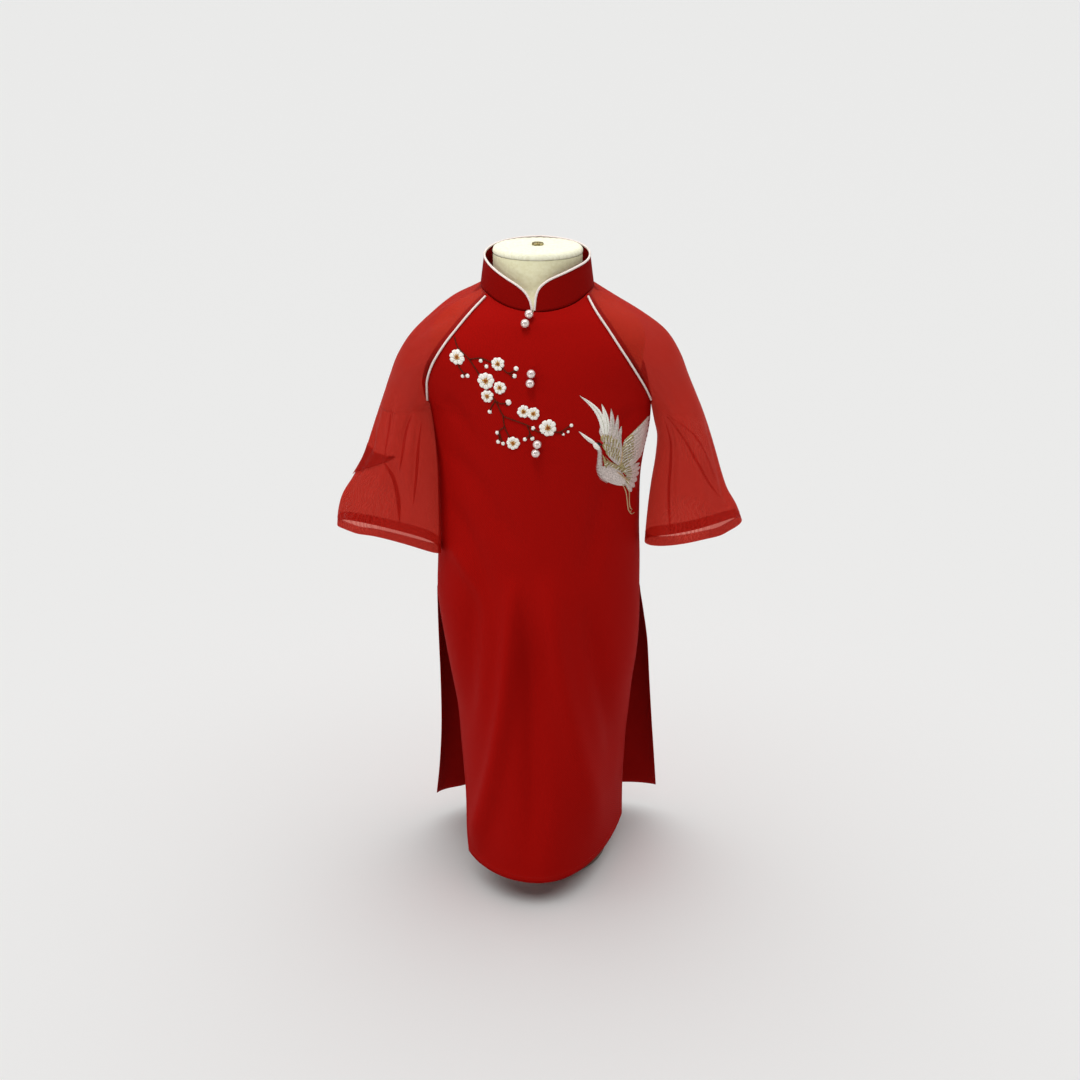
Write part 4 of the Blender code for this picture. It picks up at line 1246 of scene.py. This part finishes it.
# Blossom branch: a common spray of white blossoms on brown stems, laid out here at the
# place and size of the real one
branch = {
    "stemRadius": 0.7,
    "stems": (
        ((-90, 676), (-86, 666), (-74, 655), (-64, 641), (-54, 624), (-46, 613), (-38, 598), (-30, 594),
         (-12, 588), (0, 581), (10, 580), (22, 580), (34, 586)),
        ((-74, 655), (-62, 657), (-52, 654), (-42, 651), (-32, 643), (-24, 646)),
        ((-88, 652), (-83, 643), (-78, 638)),
        ((-31, 642), (-25, 640)),
        ((-46, 613), (-40, 610), (-33, 611)),
        ((-46, 613), (-50, 606), (-52, 601)),
        ((-38, 598), (-36, 585), (-32, 576), (-27, 568)),
        ((-36, 585), (-42, 579), (-42, 570)),
        ((-42, 579), (-39, 568)),
        ((-12, 588), (-9, 579), (-13, 573)),
        ((-9, 579), (-6, 574)),
        ((0, 581), (-5, 584)),
        ((22, 580), (27, 578)),
    ),
    "flowers": (
        # x, height, diameter, turn
        (-87, 656, 17.0, 10), (-43, 652, 14.5, 50), (-56, 633.5, 18.5, 25), (-41, 627, 14.0, 70),
        (-54.5, 617, 14.0, 0), (-15.5, 602.5, 14.2, 35), (-5.0, 600.5, 14.0, 5), (10.5, 585, 19.0, 55),
        (-27, 567.5, 15.0, 20),
    ),
    "buds": (
        # x, height, length, turn
        (-61, 654.5, 5.0, 200), (-55.5, 649, 5.0, 330), (-81, 636.5, 4.6, 230), (-76, 637.5, 5.4, 300),
        (-23.5, 647.5, 6.0, 80), (-25.5, 640, 5.6, 30), (-32.0, 611.5, 7.4, 60), (-52, 600.5, 5.2, 250),
        (-44, 577.5, 5.0, 120), (-43, 568, 5.2, 240), (-38, 566.5, 4.8, 290), (-5.5, 584.5, 5.4, 70),
        (-14, 572.5, 5.2, 220), (-6.5, 573.5, 5.4, 330), (35.5, 586.5, 4.6, 40), (32, 580, 3.8, 340),
        (27, 577.5, 3.6, 300),
    ),
    "petals": 8,
    "grow": 0.98,
}


def petalOutline(turn):
    def outline(a):
        place = ((np.degrees(a) - turn) * branch["petals"] / 360) % 1
        uneven = 0.035 * np.sin(a * 3 + turn)
        return 1 - 0.15 * np.abs(2 * place - 1) ** 2.4 + uneven + 0.012 * np.sin(a * 17)
    return outline


def petalHeight(turn, full):
    def height(s, a):
        place = ((np.degrees(a) - turn) * branch["petals"] / 360) % 1
        between = 1 - 0.6 * np.exp(-(np.minimum(place, 1 - place) / 0.1) ** 2)
        fold = 1 - 0.1 * np.exp(-((place - 0.5) / 0.1) ** 2) * s
        bowl = 0.3 + 0.8 * np.sin(np.clip(s, 0, 1) ** 1.3 * math.pi * 0.84)
        rim = softStep((1.03 - s) / 0.14)
        return 0.15 + full * between * fold * bowl * rim
    return height


for x, height, diameter, turn in branch["flowers"]:
    diameter = diameter * branch["grow"]
    satinDisc("whiteThread", (x, height), diameter / 2, petalOutline(turn), petalHeight(turn, 1.35), 96, 9)
    # sage grey stitches in the clefts between the petals, a painted shade where the raised petals meet
    for k in range(branch["petals"]):
        cleft = math.radians(turn + k * 360 / branch["petals"] + 4 * math.sin(k * 2.7))
        near = (x + diameter * 0.16 * math.cos(cleft), height + diameter * 0.16 * math.sin(cleft))
        far = (x + diameter * 0.41 * math.cos(cleft), height + diameter * 0.41 * math.sin(cleft))
        satinLeaf("paintedShadeThread", near, far, 0.8, 0.0, 1.0, 0.35, 8, 4)
    # a golden star of loose stitches round a brown eye
    for k in range(11):
        turned = math.radians(turn + k * 360 / 11 + 9 * math.sin(k * 2.1))
        reach = diameter * (0.27 + 0.06 * math.sin(k * 1.7 + turn))
        tip = (x + reach * math.cos(turned), height + reach * math.sin(turned))
        near = (x + diameter * 0.04 * math.cos(turned), height + diameter * 0.04 * math.sin(turned))
        satinLeaf("amberThread", near, tip, 1.3, 0.0, 1.85, 0.3, 7, 4)
    satinDisc("eyeThread", (x, height), diameter * 0.1, lambda a: 1 + 0.14 * np.cos(3 * a),
              lambda s, a: 1.5 + 0.6 * np.cos(s * 1.5), 18, 3)

for x, height, length, turn in branch["buds"]:
    a = math.radians(turn)
    step = np.array([math.cos(a), math.sin(a)]) * length / 2
    satinLeaf("whiteThread", (x - step[0], height - step[1]), (x + step[0], height + step[1]),
              length * 0.85, 0.0, 1.3, 0.62, 12, 6)
    satinLeaf("brownThread", (x - step[0] * 1.3, height - step[1] * 1.3),
              (x - step[0] * 0.3, height - step[1] * 0.3), length * 0.4, 0.0, 1.0, 0.5, 6, 4)

for stem in branch["stems"]:
    threadLine("brownThread", stem, branch["stemRadius"])
print("blossom branch made")


# Flying crane: a common bird of good luck, drawn here from leaves and fans of satin stitch
crane = {
    "neck": ((64.0, 561), (67.0, 553), (67.0, 543), (67.5, 533), (72, 524), (80, 517)),
    "neckWidth": (4.2, 5.0, 6.4, 8.4, 10.0, 11.0),
    # single leaves: thread, root, tip, width, bend, height, place of the full width, lines, columns
    "body": (
        ("oliveThread", (83, 550), (99, 517), 8.0, 0.0, 0.8, 0.5, 20, 6),
        ("silverThread", (67, 536), (100, 506), 15.0, 0.6, 1.5, 0.4, 30, 10),
        ("silverThread", (67, 529), (97, 505.5), 5.4, -2.4, 1.9, 0.42, 24, 6),
    ),
    "head": (
        ("whiteThread", (59.0, 566), (67.5, 555), 5.6, 0.0, 1.7, 0.5, 14, 6),
        ("whiteThread", (62.5, 563.0), (43.8, 579.5), 4.0, 0.4, 1.2, 0.25, 20, 6),
        ("silverThread", (60, 564.0), (46, 577.5), 0.7, 0.4, 1.7, 0.4, 14, 4),
        ("crownThread", (64, 567.5), (72.0, 560.0), 2.4, 0.8, 1.9, 0.5, 10, 4),
        ("blackThread", (63.2, 564.4), (69.0, 560.6), 2.6, 0.2, 2.1, 0.5, 10, 4),
        ("oliveThread", (70.0, 550), (74.5, 530), 2.6, 0.8, 2.0, 0.5, 20, 4),
        ("oliveThread", (73, 541), (88, 526), 4.6, 0.8, 1.9, 0.5, 20, 6),
    ),
    "goldLeaves": (
        ("goldThread", (73, 547), (90, 526), 1.6, -1.4, 2.4, 0.5, 26, 4),
        ("goldThread", (92, 556), (89, 528), 1.4, 0.8, 2.4, 0.5, 26, 4),
        ("goldThread", (82, 529), (103, 505), 2.2, 1.2, 2.4, 0.5, 26, 4),
    ),
    "longFeathers": (
        # root, tip, width, bow
        ((72, 566), (44.5, 618), 6.6, -8.4),
        ((74, 568), (68.5, 607), 6.6, -2.4),
        ((78, 567), (79.0, 600), 6.2, -1.6),
        ((82, 564), (86.5, 591.5), 5.8, -1.0),
        ((86, 560), (91.0, 577.0), 5.4, -0.4),
        ((87, 555), (91.0, 566.0), 4.6, 0.2),
    ),
    "leftWing": {
        "roots": ((77, 545), (82, 538), (87, 533), (90, 531)),
        "tips": ((64, 580), (74, 584), (84, 577), (90.5, 565), (91.5, 553)),
        "feathers": 6, "bow": -0.8, "notch": 0.12,
    },
    "rightWing": {
        "roots": ((94.5, 560), (92, 549), (91, 539), (94, 530), (99, 522)),
        "tips": ((125.0, 578), (124.5, 564), (122.5, 551), (119.5, 540), (115, 531)),
        "feathers": 9, "bow": 1.4, "notch": 0.10,
    },
    "tail": {
        "roots": ((94, 524), (98, 518), (97, 513), (95, 509)),
        "tips": ((112.5, 527), (114.5, 517), (112, 507), (108, 498), (102.5, 493)),
        "feathers": 6, "bow": 0.6, "notch": 0.2,
    },
    "legs": (
        ((93, 509), (97.5, 498), (99.5, 485), (101, 475), (105, 467)),
        ((97, 508), (101.5, 496), (102, 484), (103, 477), (105.5, 472)),
    ),
    "legRadius": 0.45,
    "toes": (((105, 467), (108.5, 466.5)), ((102, 471.5), (105, 471))),
    "toeRadius": 0.5,
}

for leaf in crane["body"]:
    satinLeaf(*leaf)
neck = curveThrough(crane["neck"], 6)
widths = curveThrough([(w,) for w in crane["neckWidth"]], 6)[:, 0]
for k in range(len(neck) - 1):
    run = neck[k + 1] - neck[k]
    sideways = unit(np.array([-run[1], run[0]]))
    satinLeaf("silverThread", neck[k] - sideways * widths[k] / 2, neck[k + 1] + sideways * widths[k] / 2,
              1.9, 0.0, 1.3, 0.5, 8, 4)
for leaf in crane["head"]:
    satinLeaf(*leaf)

for wing in ("leftWing", "rightWing", "tail"):
    # the threads between the feathers are grey, a painted shade
    satinFan("silverThread", "paintedShadeThread", crane[wing], 1.3)
for number, (root, tip, width, bow) in enumerate(crane["longFeathers"]):
    kind = "whiteThread" if number < 2 else "silverThread"
    satinLeaf(kind, root, tip, width, bow, 1.5, 0.3, 34, 8)
    # a sage grey line down each long feather, a painted shade along its middle
    satinLeaf("paintedShadeThread", root, tip, 0.6, bow, 2.0, 0.3, 26, 4)

# covert feathers, small overlapping leaves of olive gold and silver over both wing roots
coverts = {
    "bend": 0.5,
    "rows": (
        # roots, tips, leaves, width
        (((70, 562), (79, 556), (88, 548)), ((70, 574), (79, 572), (89, 561)), 7, 3.6),
        (((73, 554), (80, 547), (88, 541)), ((71, 566), (80, 560), (89, 552)), 7, 3.6),
        (((76, 547), (82, 541), (88, 535)), ((75, 558), (82, 552), (89, 545)), 6, 3.4),
        (((93, 557), (94, 545), (97, 532)), ((106, 566), (107, 552), (107, 538)), 9, 3.8),
        (((91, 549), (91, 539), (94, 528)), ((100, 558), (101, 546), (101, 533)), 8, 3.6),
        (((72, 537), (82, 530), (92, 522)), ((76, 541), (86, 534), (97, 526)), 7, 3.4),
        (((92, 524), (96, 520), (96, 513)), ((104, 527), (105, 517), (101, 504)), 6, 3.2),
    ),
}
for number, (roots, tips, leaves, width) in enumerate(coverts["rows"]):
    rootLine, tipLine = curveThrough(roots, 8), curveThrough(tips, 8)
    for k in range(leaves):
        share = k / (leaves - 1)
        root, tip = along(rootLine, share), along(tipLine, share)
        over = 0.2 * (number % 3)
        satinLeaf("oliveThread", root, tip, width, coverts["bend"], 2.1 + over, 0.6, 18, 6)
        rib = "whiteThread" if (k + number) % 2 else "silverThread"
        ribTip = root + (tip - root) * 0.9
        satinLeaf(rib, root, ribTip, width * 0.34, coverts["bend"], 2.7 + over, 0.6, 14, 4)
for leaf in crane["goldLeaves"]:
    satinLeaf(*leaf)
for leg in crane["legs"]:
    threadLine("goldThread", leg, crane["legRadius"])
for toe in crane["toes"]:
    threadLine("goldThread", toe, crane["toeRadius"])
print("crane made")

# small glass beads over the crane's wing roots
beads = {
    "radius": 0.62,
    "lift": 2.9,
    "inRow": 7,
    "scatter": 0.8,
    "rows": ((74, 552, 80, 566), (81, 544, 88, 557), (94, 549, 104, 562), (93, 541, 106, 553),
             (94, 533, 106, 543), (96, 545, 98, 530), (100, 551, 103, 537)),
}
for x0, h0, x1, h1 in beads["rows"]:
    for k in range(beads["inRow"]):
        share = k / (beads["inRow"] - 1)
        x = x0 + (x1 - x0) * share + beads["scatter"] * math.sin(k * 2.3)
        height = h0 + (h1 - h0) * share + beads["scatter"] * math.cos(k * 3.1)
        spot, normal = onFront(x, height)
        ball = ballPoints(beads["radius"], 7, 10)
        addStitches("pearl", ball + spot + normal * beads["lift"], True)


# Hem stitches, a row of small threads along the groove of each turned hem
stitches = {"length": 2.4, "gap": 1.5, "radius": 0.22, "fromHem": 7.0, "lift": 0.15}


def runStitches(name, line, material):
    run = lengthAlong(line)
    pitch = stitches["length"] + stitches["gap"]
    turn = np.linspace(0, 2 * math.pi, 6, endpoint=False)[None, :, None]
    thick = stitches["radius"] * np.array([0.3, 0.9, 1.0, 0.9, 0.3])
    threads = []
    for k in range(int(run[-1] / pitch)):
        places = np.linspace(k * pitch, k * pitch + stitches["length"], len(thick))
        spine = np.stack([np.interp(places, run, line[:, c]) for c in range(3)], axis=-1)
        direction = unit(spine[-1] - spine[0])
        sideA = unit(np.cross(direction, (0.3, -1.0, 0.1)))
        sideB = np.cross(direction, sideA)
        ring = np.cos(turn) * sideA + np.sin(turn) * sideB
        threads.append((spine[:, None, :] + thick[:, None, None] * ring, True))
    return addMesh(name, *joinPatches(threads), material, "crepe")


for panel, word in ((frontPanel, "front"), (backPanel, "back")):
    last = len(panel["levels"]) - 2
    lowest = panel["levels"][-1][0]
    step = panel["levels"][-2][0] - lowest
    hemRow = last - stitches["fromHem"] / step
    spread = np.linspace(-0.93, 0.93, 400)
    line = panelLine(panel, spread, np.full(spread.shape, hemRow), stitches["lift"])
    runStitches(word + "HemStitches", line, finishes["redThread"])
    for hand, sign in sideOf.items():
        t = np.linspace(13.0, last - 0.2, 300)
        line = panelLine(panel, np.full(t.shape, sign * 0.962), t, stitches["lift"])
        runStitches(word + "SlitStitches_" + hand, line, finishes["redThread"])
for hand in ("left", "right"):
    around = np.linspace(0, 1, 400)
    hemRow = sleeves["lastRow"] - sleeves["hemTurn"] * 0.95 / sleeves["lastRowHeight"]
    line = sleeveSurface(hand, around, np.full(around.shape, hemRow), stitches["lift"])
    runStitches("sleeveHemStitches_" + hand, line, finishes["redThread"])
print("hem stitches made")

# each kind of embroidery thread as one piece
for kind, patches in threadWork.items():
    slotName = {"pearl": "pearl", "goldThread": "brass"}.get(kind, "piping")
    addMesh("embroidery_" + kind, *joinPatches(patches), finishes[kind], slotName)


# Dress form: a limbless torso under stretched linen, with a flat cap on its neck
dressForm = {
    "middleX": -0.5,
    "sides": 128,
    "stepsEachLevel": 7,
    "threadReach": 95.0,  # mm of jersey for each radian round the form, seamed down the back
    "sections": (
        ("height", "halfWidth", "frontY", "backY"),
        (300, 92, -98, 44),
        (306, 98, -105, 50),
        (330, 104, -112, 56),
        (380, 108, -117, 60),
        (450, 107, -118, 56),
        (500, 106, -119, 56),
        (550, 108, -119, 61),
        (590, 110, -118, 66),
        (617, 114, -115, 68),
        (640, 118, -111, 67),
        (658, 120, -106, 65),
        (672, 117, -101, 60.5),
        (684, 108, -96, 54),
        (694, 96, -92, 49.5),
        (703, 81, -87, 45),
        (710, 67, -81, 39),
        (717, 56.5, -76, 32),
        (726, 51, -72.5, 27.5),
        (740, 49.3, -71.3, 26.7),
        (755, 49, -71, 26),
    ),
}

last = len(dressForm["sections"]) - 2
rows = np.linspace(0, last, last * dressForm["stepsEachLevel"] + 1)
turn = np.linspace(0, 2 * math.pi, dressForm["sides"], endpoint=False)
t, a = np.meshgrid(rows, turn, indexing="ij")
section = readRows(dressForm["sections"], t)
depth = (section["backY"] - section["frontY"]) / 2
middleY = (section["backY"] + section["frontY"]) / 2
formPoints = np.stack([
    dressForm["middleX"] + section["halfWidth"] * np.sin(a),
    middleY - depth * np.cos(a),
    section["height"],
], axis=-1)
bottom = formPoints[:1].copy()
bottom[..., 0] = dressForm["middleX"]
bottom[..., 1] = middleY[0, 0]
formPoints = np.vstack([bottom, formPoints])
faces = gridFaces(formPoints.shape[0], formPoints.shape[1], closed=True)[:, ::-1]
aroundForm = np.minimum(a, 2 * math.pi - a) * dressForm["threadReach"]
aroundForm = np.vstack([aroundForm[:1], aroundForm])
formThreads = np.stack([aroundForm, formPoints[..., 2]], axis=-1).reshape(-1, 2) * mm
form = addMesh("linenForm", formPoints.reshape(-1, 3), faces, finishes["linen"], "linen", formThreads)
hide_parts("dress_form")

cap = {"radius": 49.3, "bottom": 755.3, "top": 763.0, "rounding": 5.0, "place": (-0.5, -22.5, 0.0)}


def capPucker(radius, height, turn):
    # the linen is gathered over the rim, so its edge is drawn into small tucks
    rim = softStep((radius - cap["radius"] + 12) / 10)
    tucks = 0.22 * np.sin(turn * 34 + 0.8 * np.sin(turn * 5)) + 0.12 * np.sin(turn * 13 + 1.0)
    return radius + tucks * rim * 0.8, height + tucks * rim * 0.6


bendX = cap["radius"] - cap["rounding"]
bendZ = cap["top"] - 0.4 - cap["rounding"]
capProfile = [(0.02, cap["top"]), (20, cap["top"] - 0.05), (bendX - 8, cap["top"] - 0.2)]
for i in range(9):
    bend = math.radians(90 - 11.25 * i)
    capProfile.append((bendX + cap["rounding"] * math.cos(bend), bendZ + cap["rounding"] * math.sin(bend)))
capProfile += [
    (cap["radius"], cap["bottom"] + 1.0),
    (cap["radius"] - 0.6, cap["bottom"]),
    (0.02, cap["bottom"]),
]
neckCap = addTurned("neckCapLinen", capProfile, cap["place"], finishes["cap"], "cap", 240, capPucker)
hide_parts("neck_cap")

fitting = {"radius": 6.5, "hole": 2.6, "height": 2.4, "low": 763.35}
low, high = fitting["low"], fitting["low"] + fitting["height"]
fittingProfile = [
    (fitting["hole"], low), (fitting["hole"], high - 0.3), (fitting["hole"] + 0.3, high),
    (fitting["radius"] - 1.2, high), (fitting["radius"] - 0.5, high - 0.2), (fitting["radius"], high - 0.8),
    (fitting["radius"], low + 0.4), (fitting["radius"] - 0.3, low), (fitting["hole"], low),
]
neckFitting = addTurned("neckFittingBrass", fittingProfile, cap["place"], finishes["brass"], "brass", 48)
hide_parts("neck_fitting")

stand = {
    "poleRadius": 12.5,
    "poleTop": 299.65,
    "poleEdge": 1.0,
    "poleGap": 0.35,
    "baseHeight": 22.0,
    # (radius, height) down the outside of the base
    "baseEdge": ((20.0, 22.0), (22.4, 20.6), (25.0, 17.4), (34.0, 14.8), (56.0, 13.0), (74.0, 11.6),
                 (80.5, 9.8), (83.4, 7.0), (84.0, 4.0), (82.6, 1.0), (81.0, 0.0)),
}
poleTop, poleLow = stand["poleTop"], stand["baseHeight"] + stand["poleGap"]
poleProfile = [
    (0.02, poleTop), (stand["poleRadius"] - stand["poleEdge"], poleTop),
    (stand["poleRadius"], poleTop - 1.05), (stand["poleRadius"], 30.0),
    (stand["poleRadius"], poleLow), (0.02, poleLow),
]
pole = addTurned("standPoleTurned", poleProfile, (0, 0, 0), finishes["pole"], "wood", 64)
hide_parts("stand_pole")
baseCurve = curveThrough(stand["baseEdge"], 5)
baseProfile = [(0.02, stand["baseHeight"]), *[tuple(p) for p in baseCurve], (0.02, 0.0)]
foot = addTurned("standBaseTurned", baseProfile, (0, 0, 0), finishes["base"], "wood", 128)
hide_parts("stand_base")
print("form and stand made")


# Floor, lights and camera
studio = {
    "floor": "#F6F6F5",
    "world": "#FFFFFF",
    "worldStrength": 0.10,
    "floorReach": ((-40, 40), (-40, 60)),  # in metres, x and y
    "skyStrength": 2.6,  # an even ceiling of light, so that the floor is pale to its far end
    "skyAngle": 110,
    "skyPlace": (0, -0.6, 3),
    "skyTilt": -14,
    "lights": (
        # name, place, aim, size, power; these light the tunic and its stand, not the floor
        ("leftSoftbox", (-1.8, -0.9, 1.5), (0, -0.03, 0.42), 0.5, 7.0),
        ("lowSoftbox", (-0.75, -1.1, 0.1), (0.02, -0.1, 0.08), 0.35, 1.7),
        ("rightSoftbox", (1.8, -0.8, 1.2), (0, -0.03, 0.38), 0.5, 3.5),
        ("topSoftbox", (-0.25, -0.6, 2.3), (0, -0.05, 0.66), 0.5, 12),
    ),
}

floorMaterial = startMaterial("painted studio floor, matt", {
    "Roughness": 0.9,
    "Specular IOR Level": 0.1,
    "Base Color": studio["floor"],
})[0]
(x0, x1), (y0, y1) = studio["floorReach"]
floorMesh = bpy.data.meshes.new("studioFloor")
floorMesh.from_pydata([(x0, y0, 0), (x1, y0, 0), (x1, y1, 0), (x0, y1, 0)], [], [(0, 1, 2, 3)])
floorMesh.materials.append(floorMaterial)
floor = bpy.data.objects.new("studioFloor", floorMesh)
bpy.context.scene.collection.objects.link(floor)

world = bpy.data.worlds.new("softStudio")
world.use_nodes = True
background = world.node_tree.nodes["Background"]
background.inputs["Color"].default_value = srgb(studio["world"])
background.inputs["Strength"].default_value = studio["worldStrength"]
bpy.context.scene.world = world

# the softboxes reach the tunic and its stand only, so that the floor stays even
lit = bpy.data.collections.new("litBySoftboxes")
for piece in bpy.context.scene.objects:
    if piece.type in ("MESH", "CURVE") and piece != floor:
        lit.objects.link(piece)

for name, place, aim, size, power in studio["lights"]:
    lamp = bpy.data.lights.new(name, "AREA")
    lamp.size = size
    lamp.energy = power
    holder = bpy.data.objects.new(name, lamp)
    holder.location = place
    holder.rotation_euler = (Vector(aim) - Vector(place)).to_track_quat("-Z", "Y").to_euler()
    bpy.context.scene.collection.objects.link(holder)
    holder.light_linking.receiver_collection = lit
    holder.visible_camera = False

sky = bpy.data.lights.new("ceilingLight", "SUN")
sky.energy = studio["skyStrength"]
sky.angle = math.radians(studio["skyAngle"])
skyHolder = bpy.data.objects.new("ceilingLight", sky)
skyHolder.location = studio["skyPlace"]
skyHolder.rotation_euler = (math.radians(studio["skyTilt"]), 0, 0)
bpy.context.scene.collection.objects.link(skyHolder)

view = {"place": (0.0020, -1.88, 1.12383), "tiltFromDown": 69.2, "lens": 56.93, "sensor": 36}
cameraData = bpy.data.cameras.new("photoCamera")
cameraData.lens = view["lens"]
cameraData.sensor_width = view["sensor"]
camera = bpy.data.objects.new("photoCamera", cameraData)
camera.location = view["place"]
camera.rotation_euler = (math.radians(view["tiltFromDown"]), 0, 0)
bpy.context.scene.collection.objects.link(camera)
bpy.context.scene.camera = camera
bpy.context.scene.view_settings.view_transform = "Standard"
print("studio made")
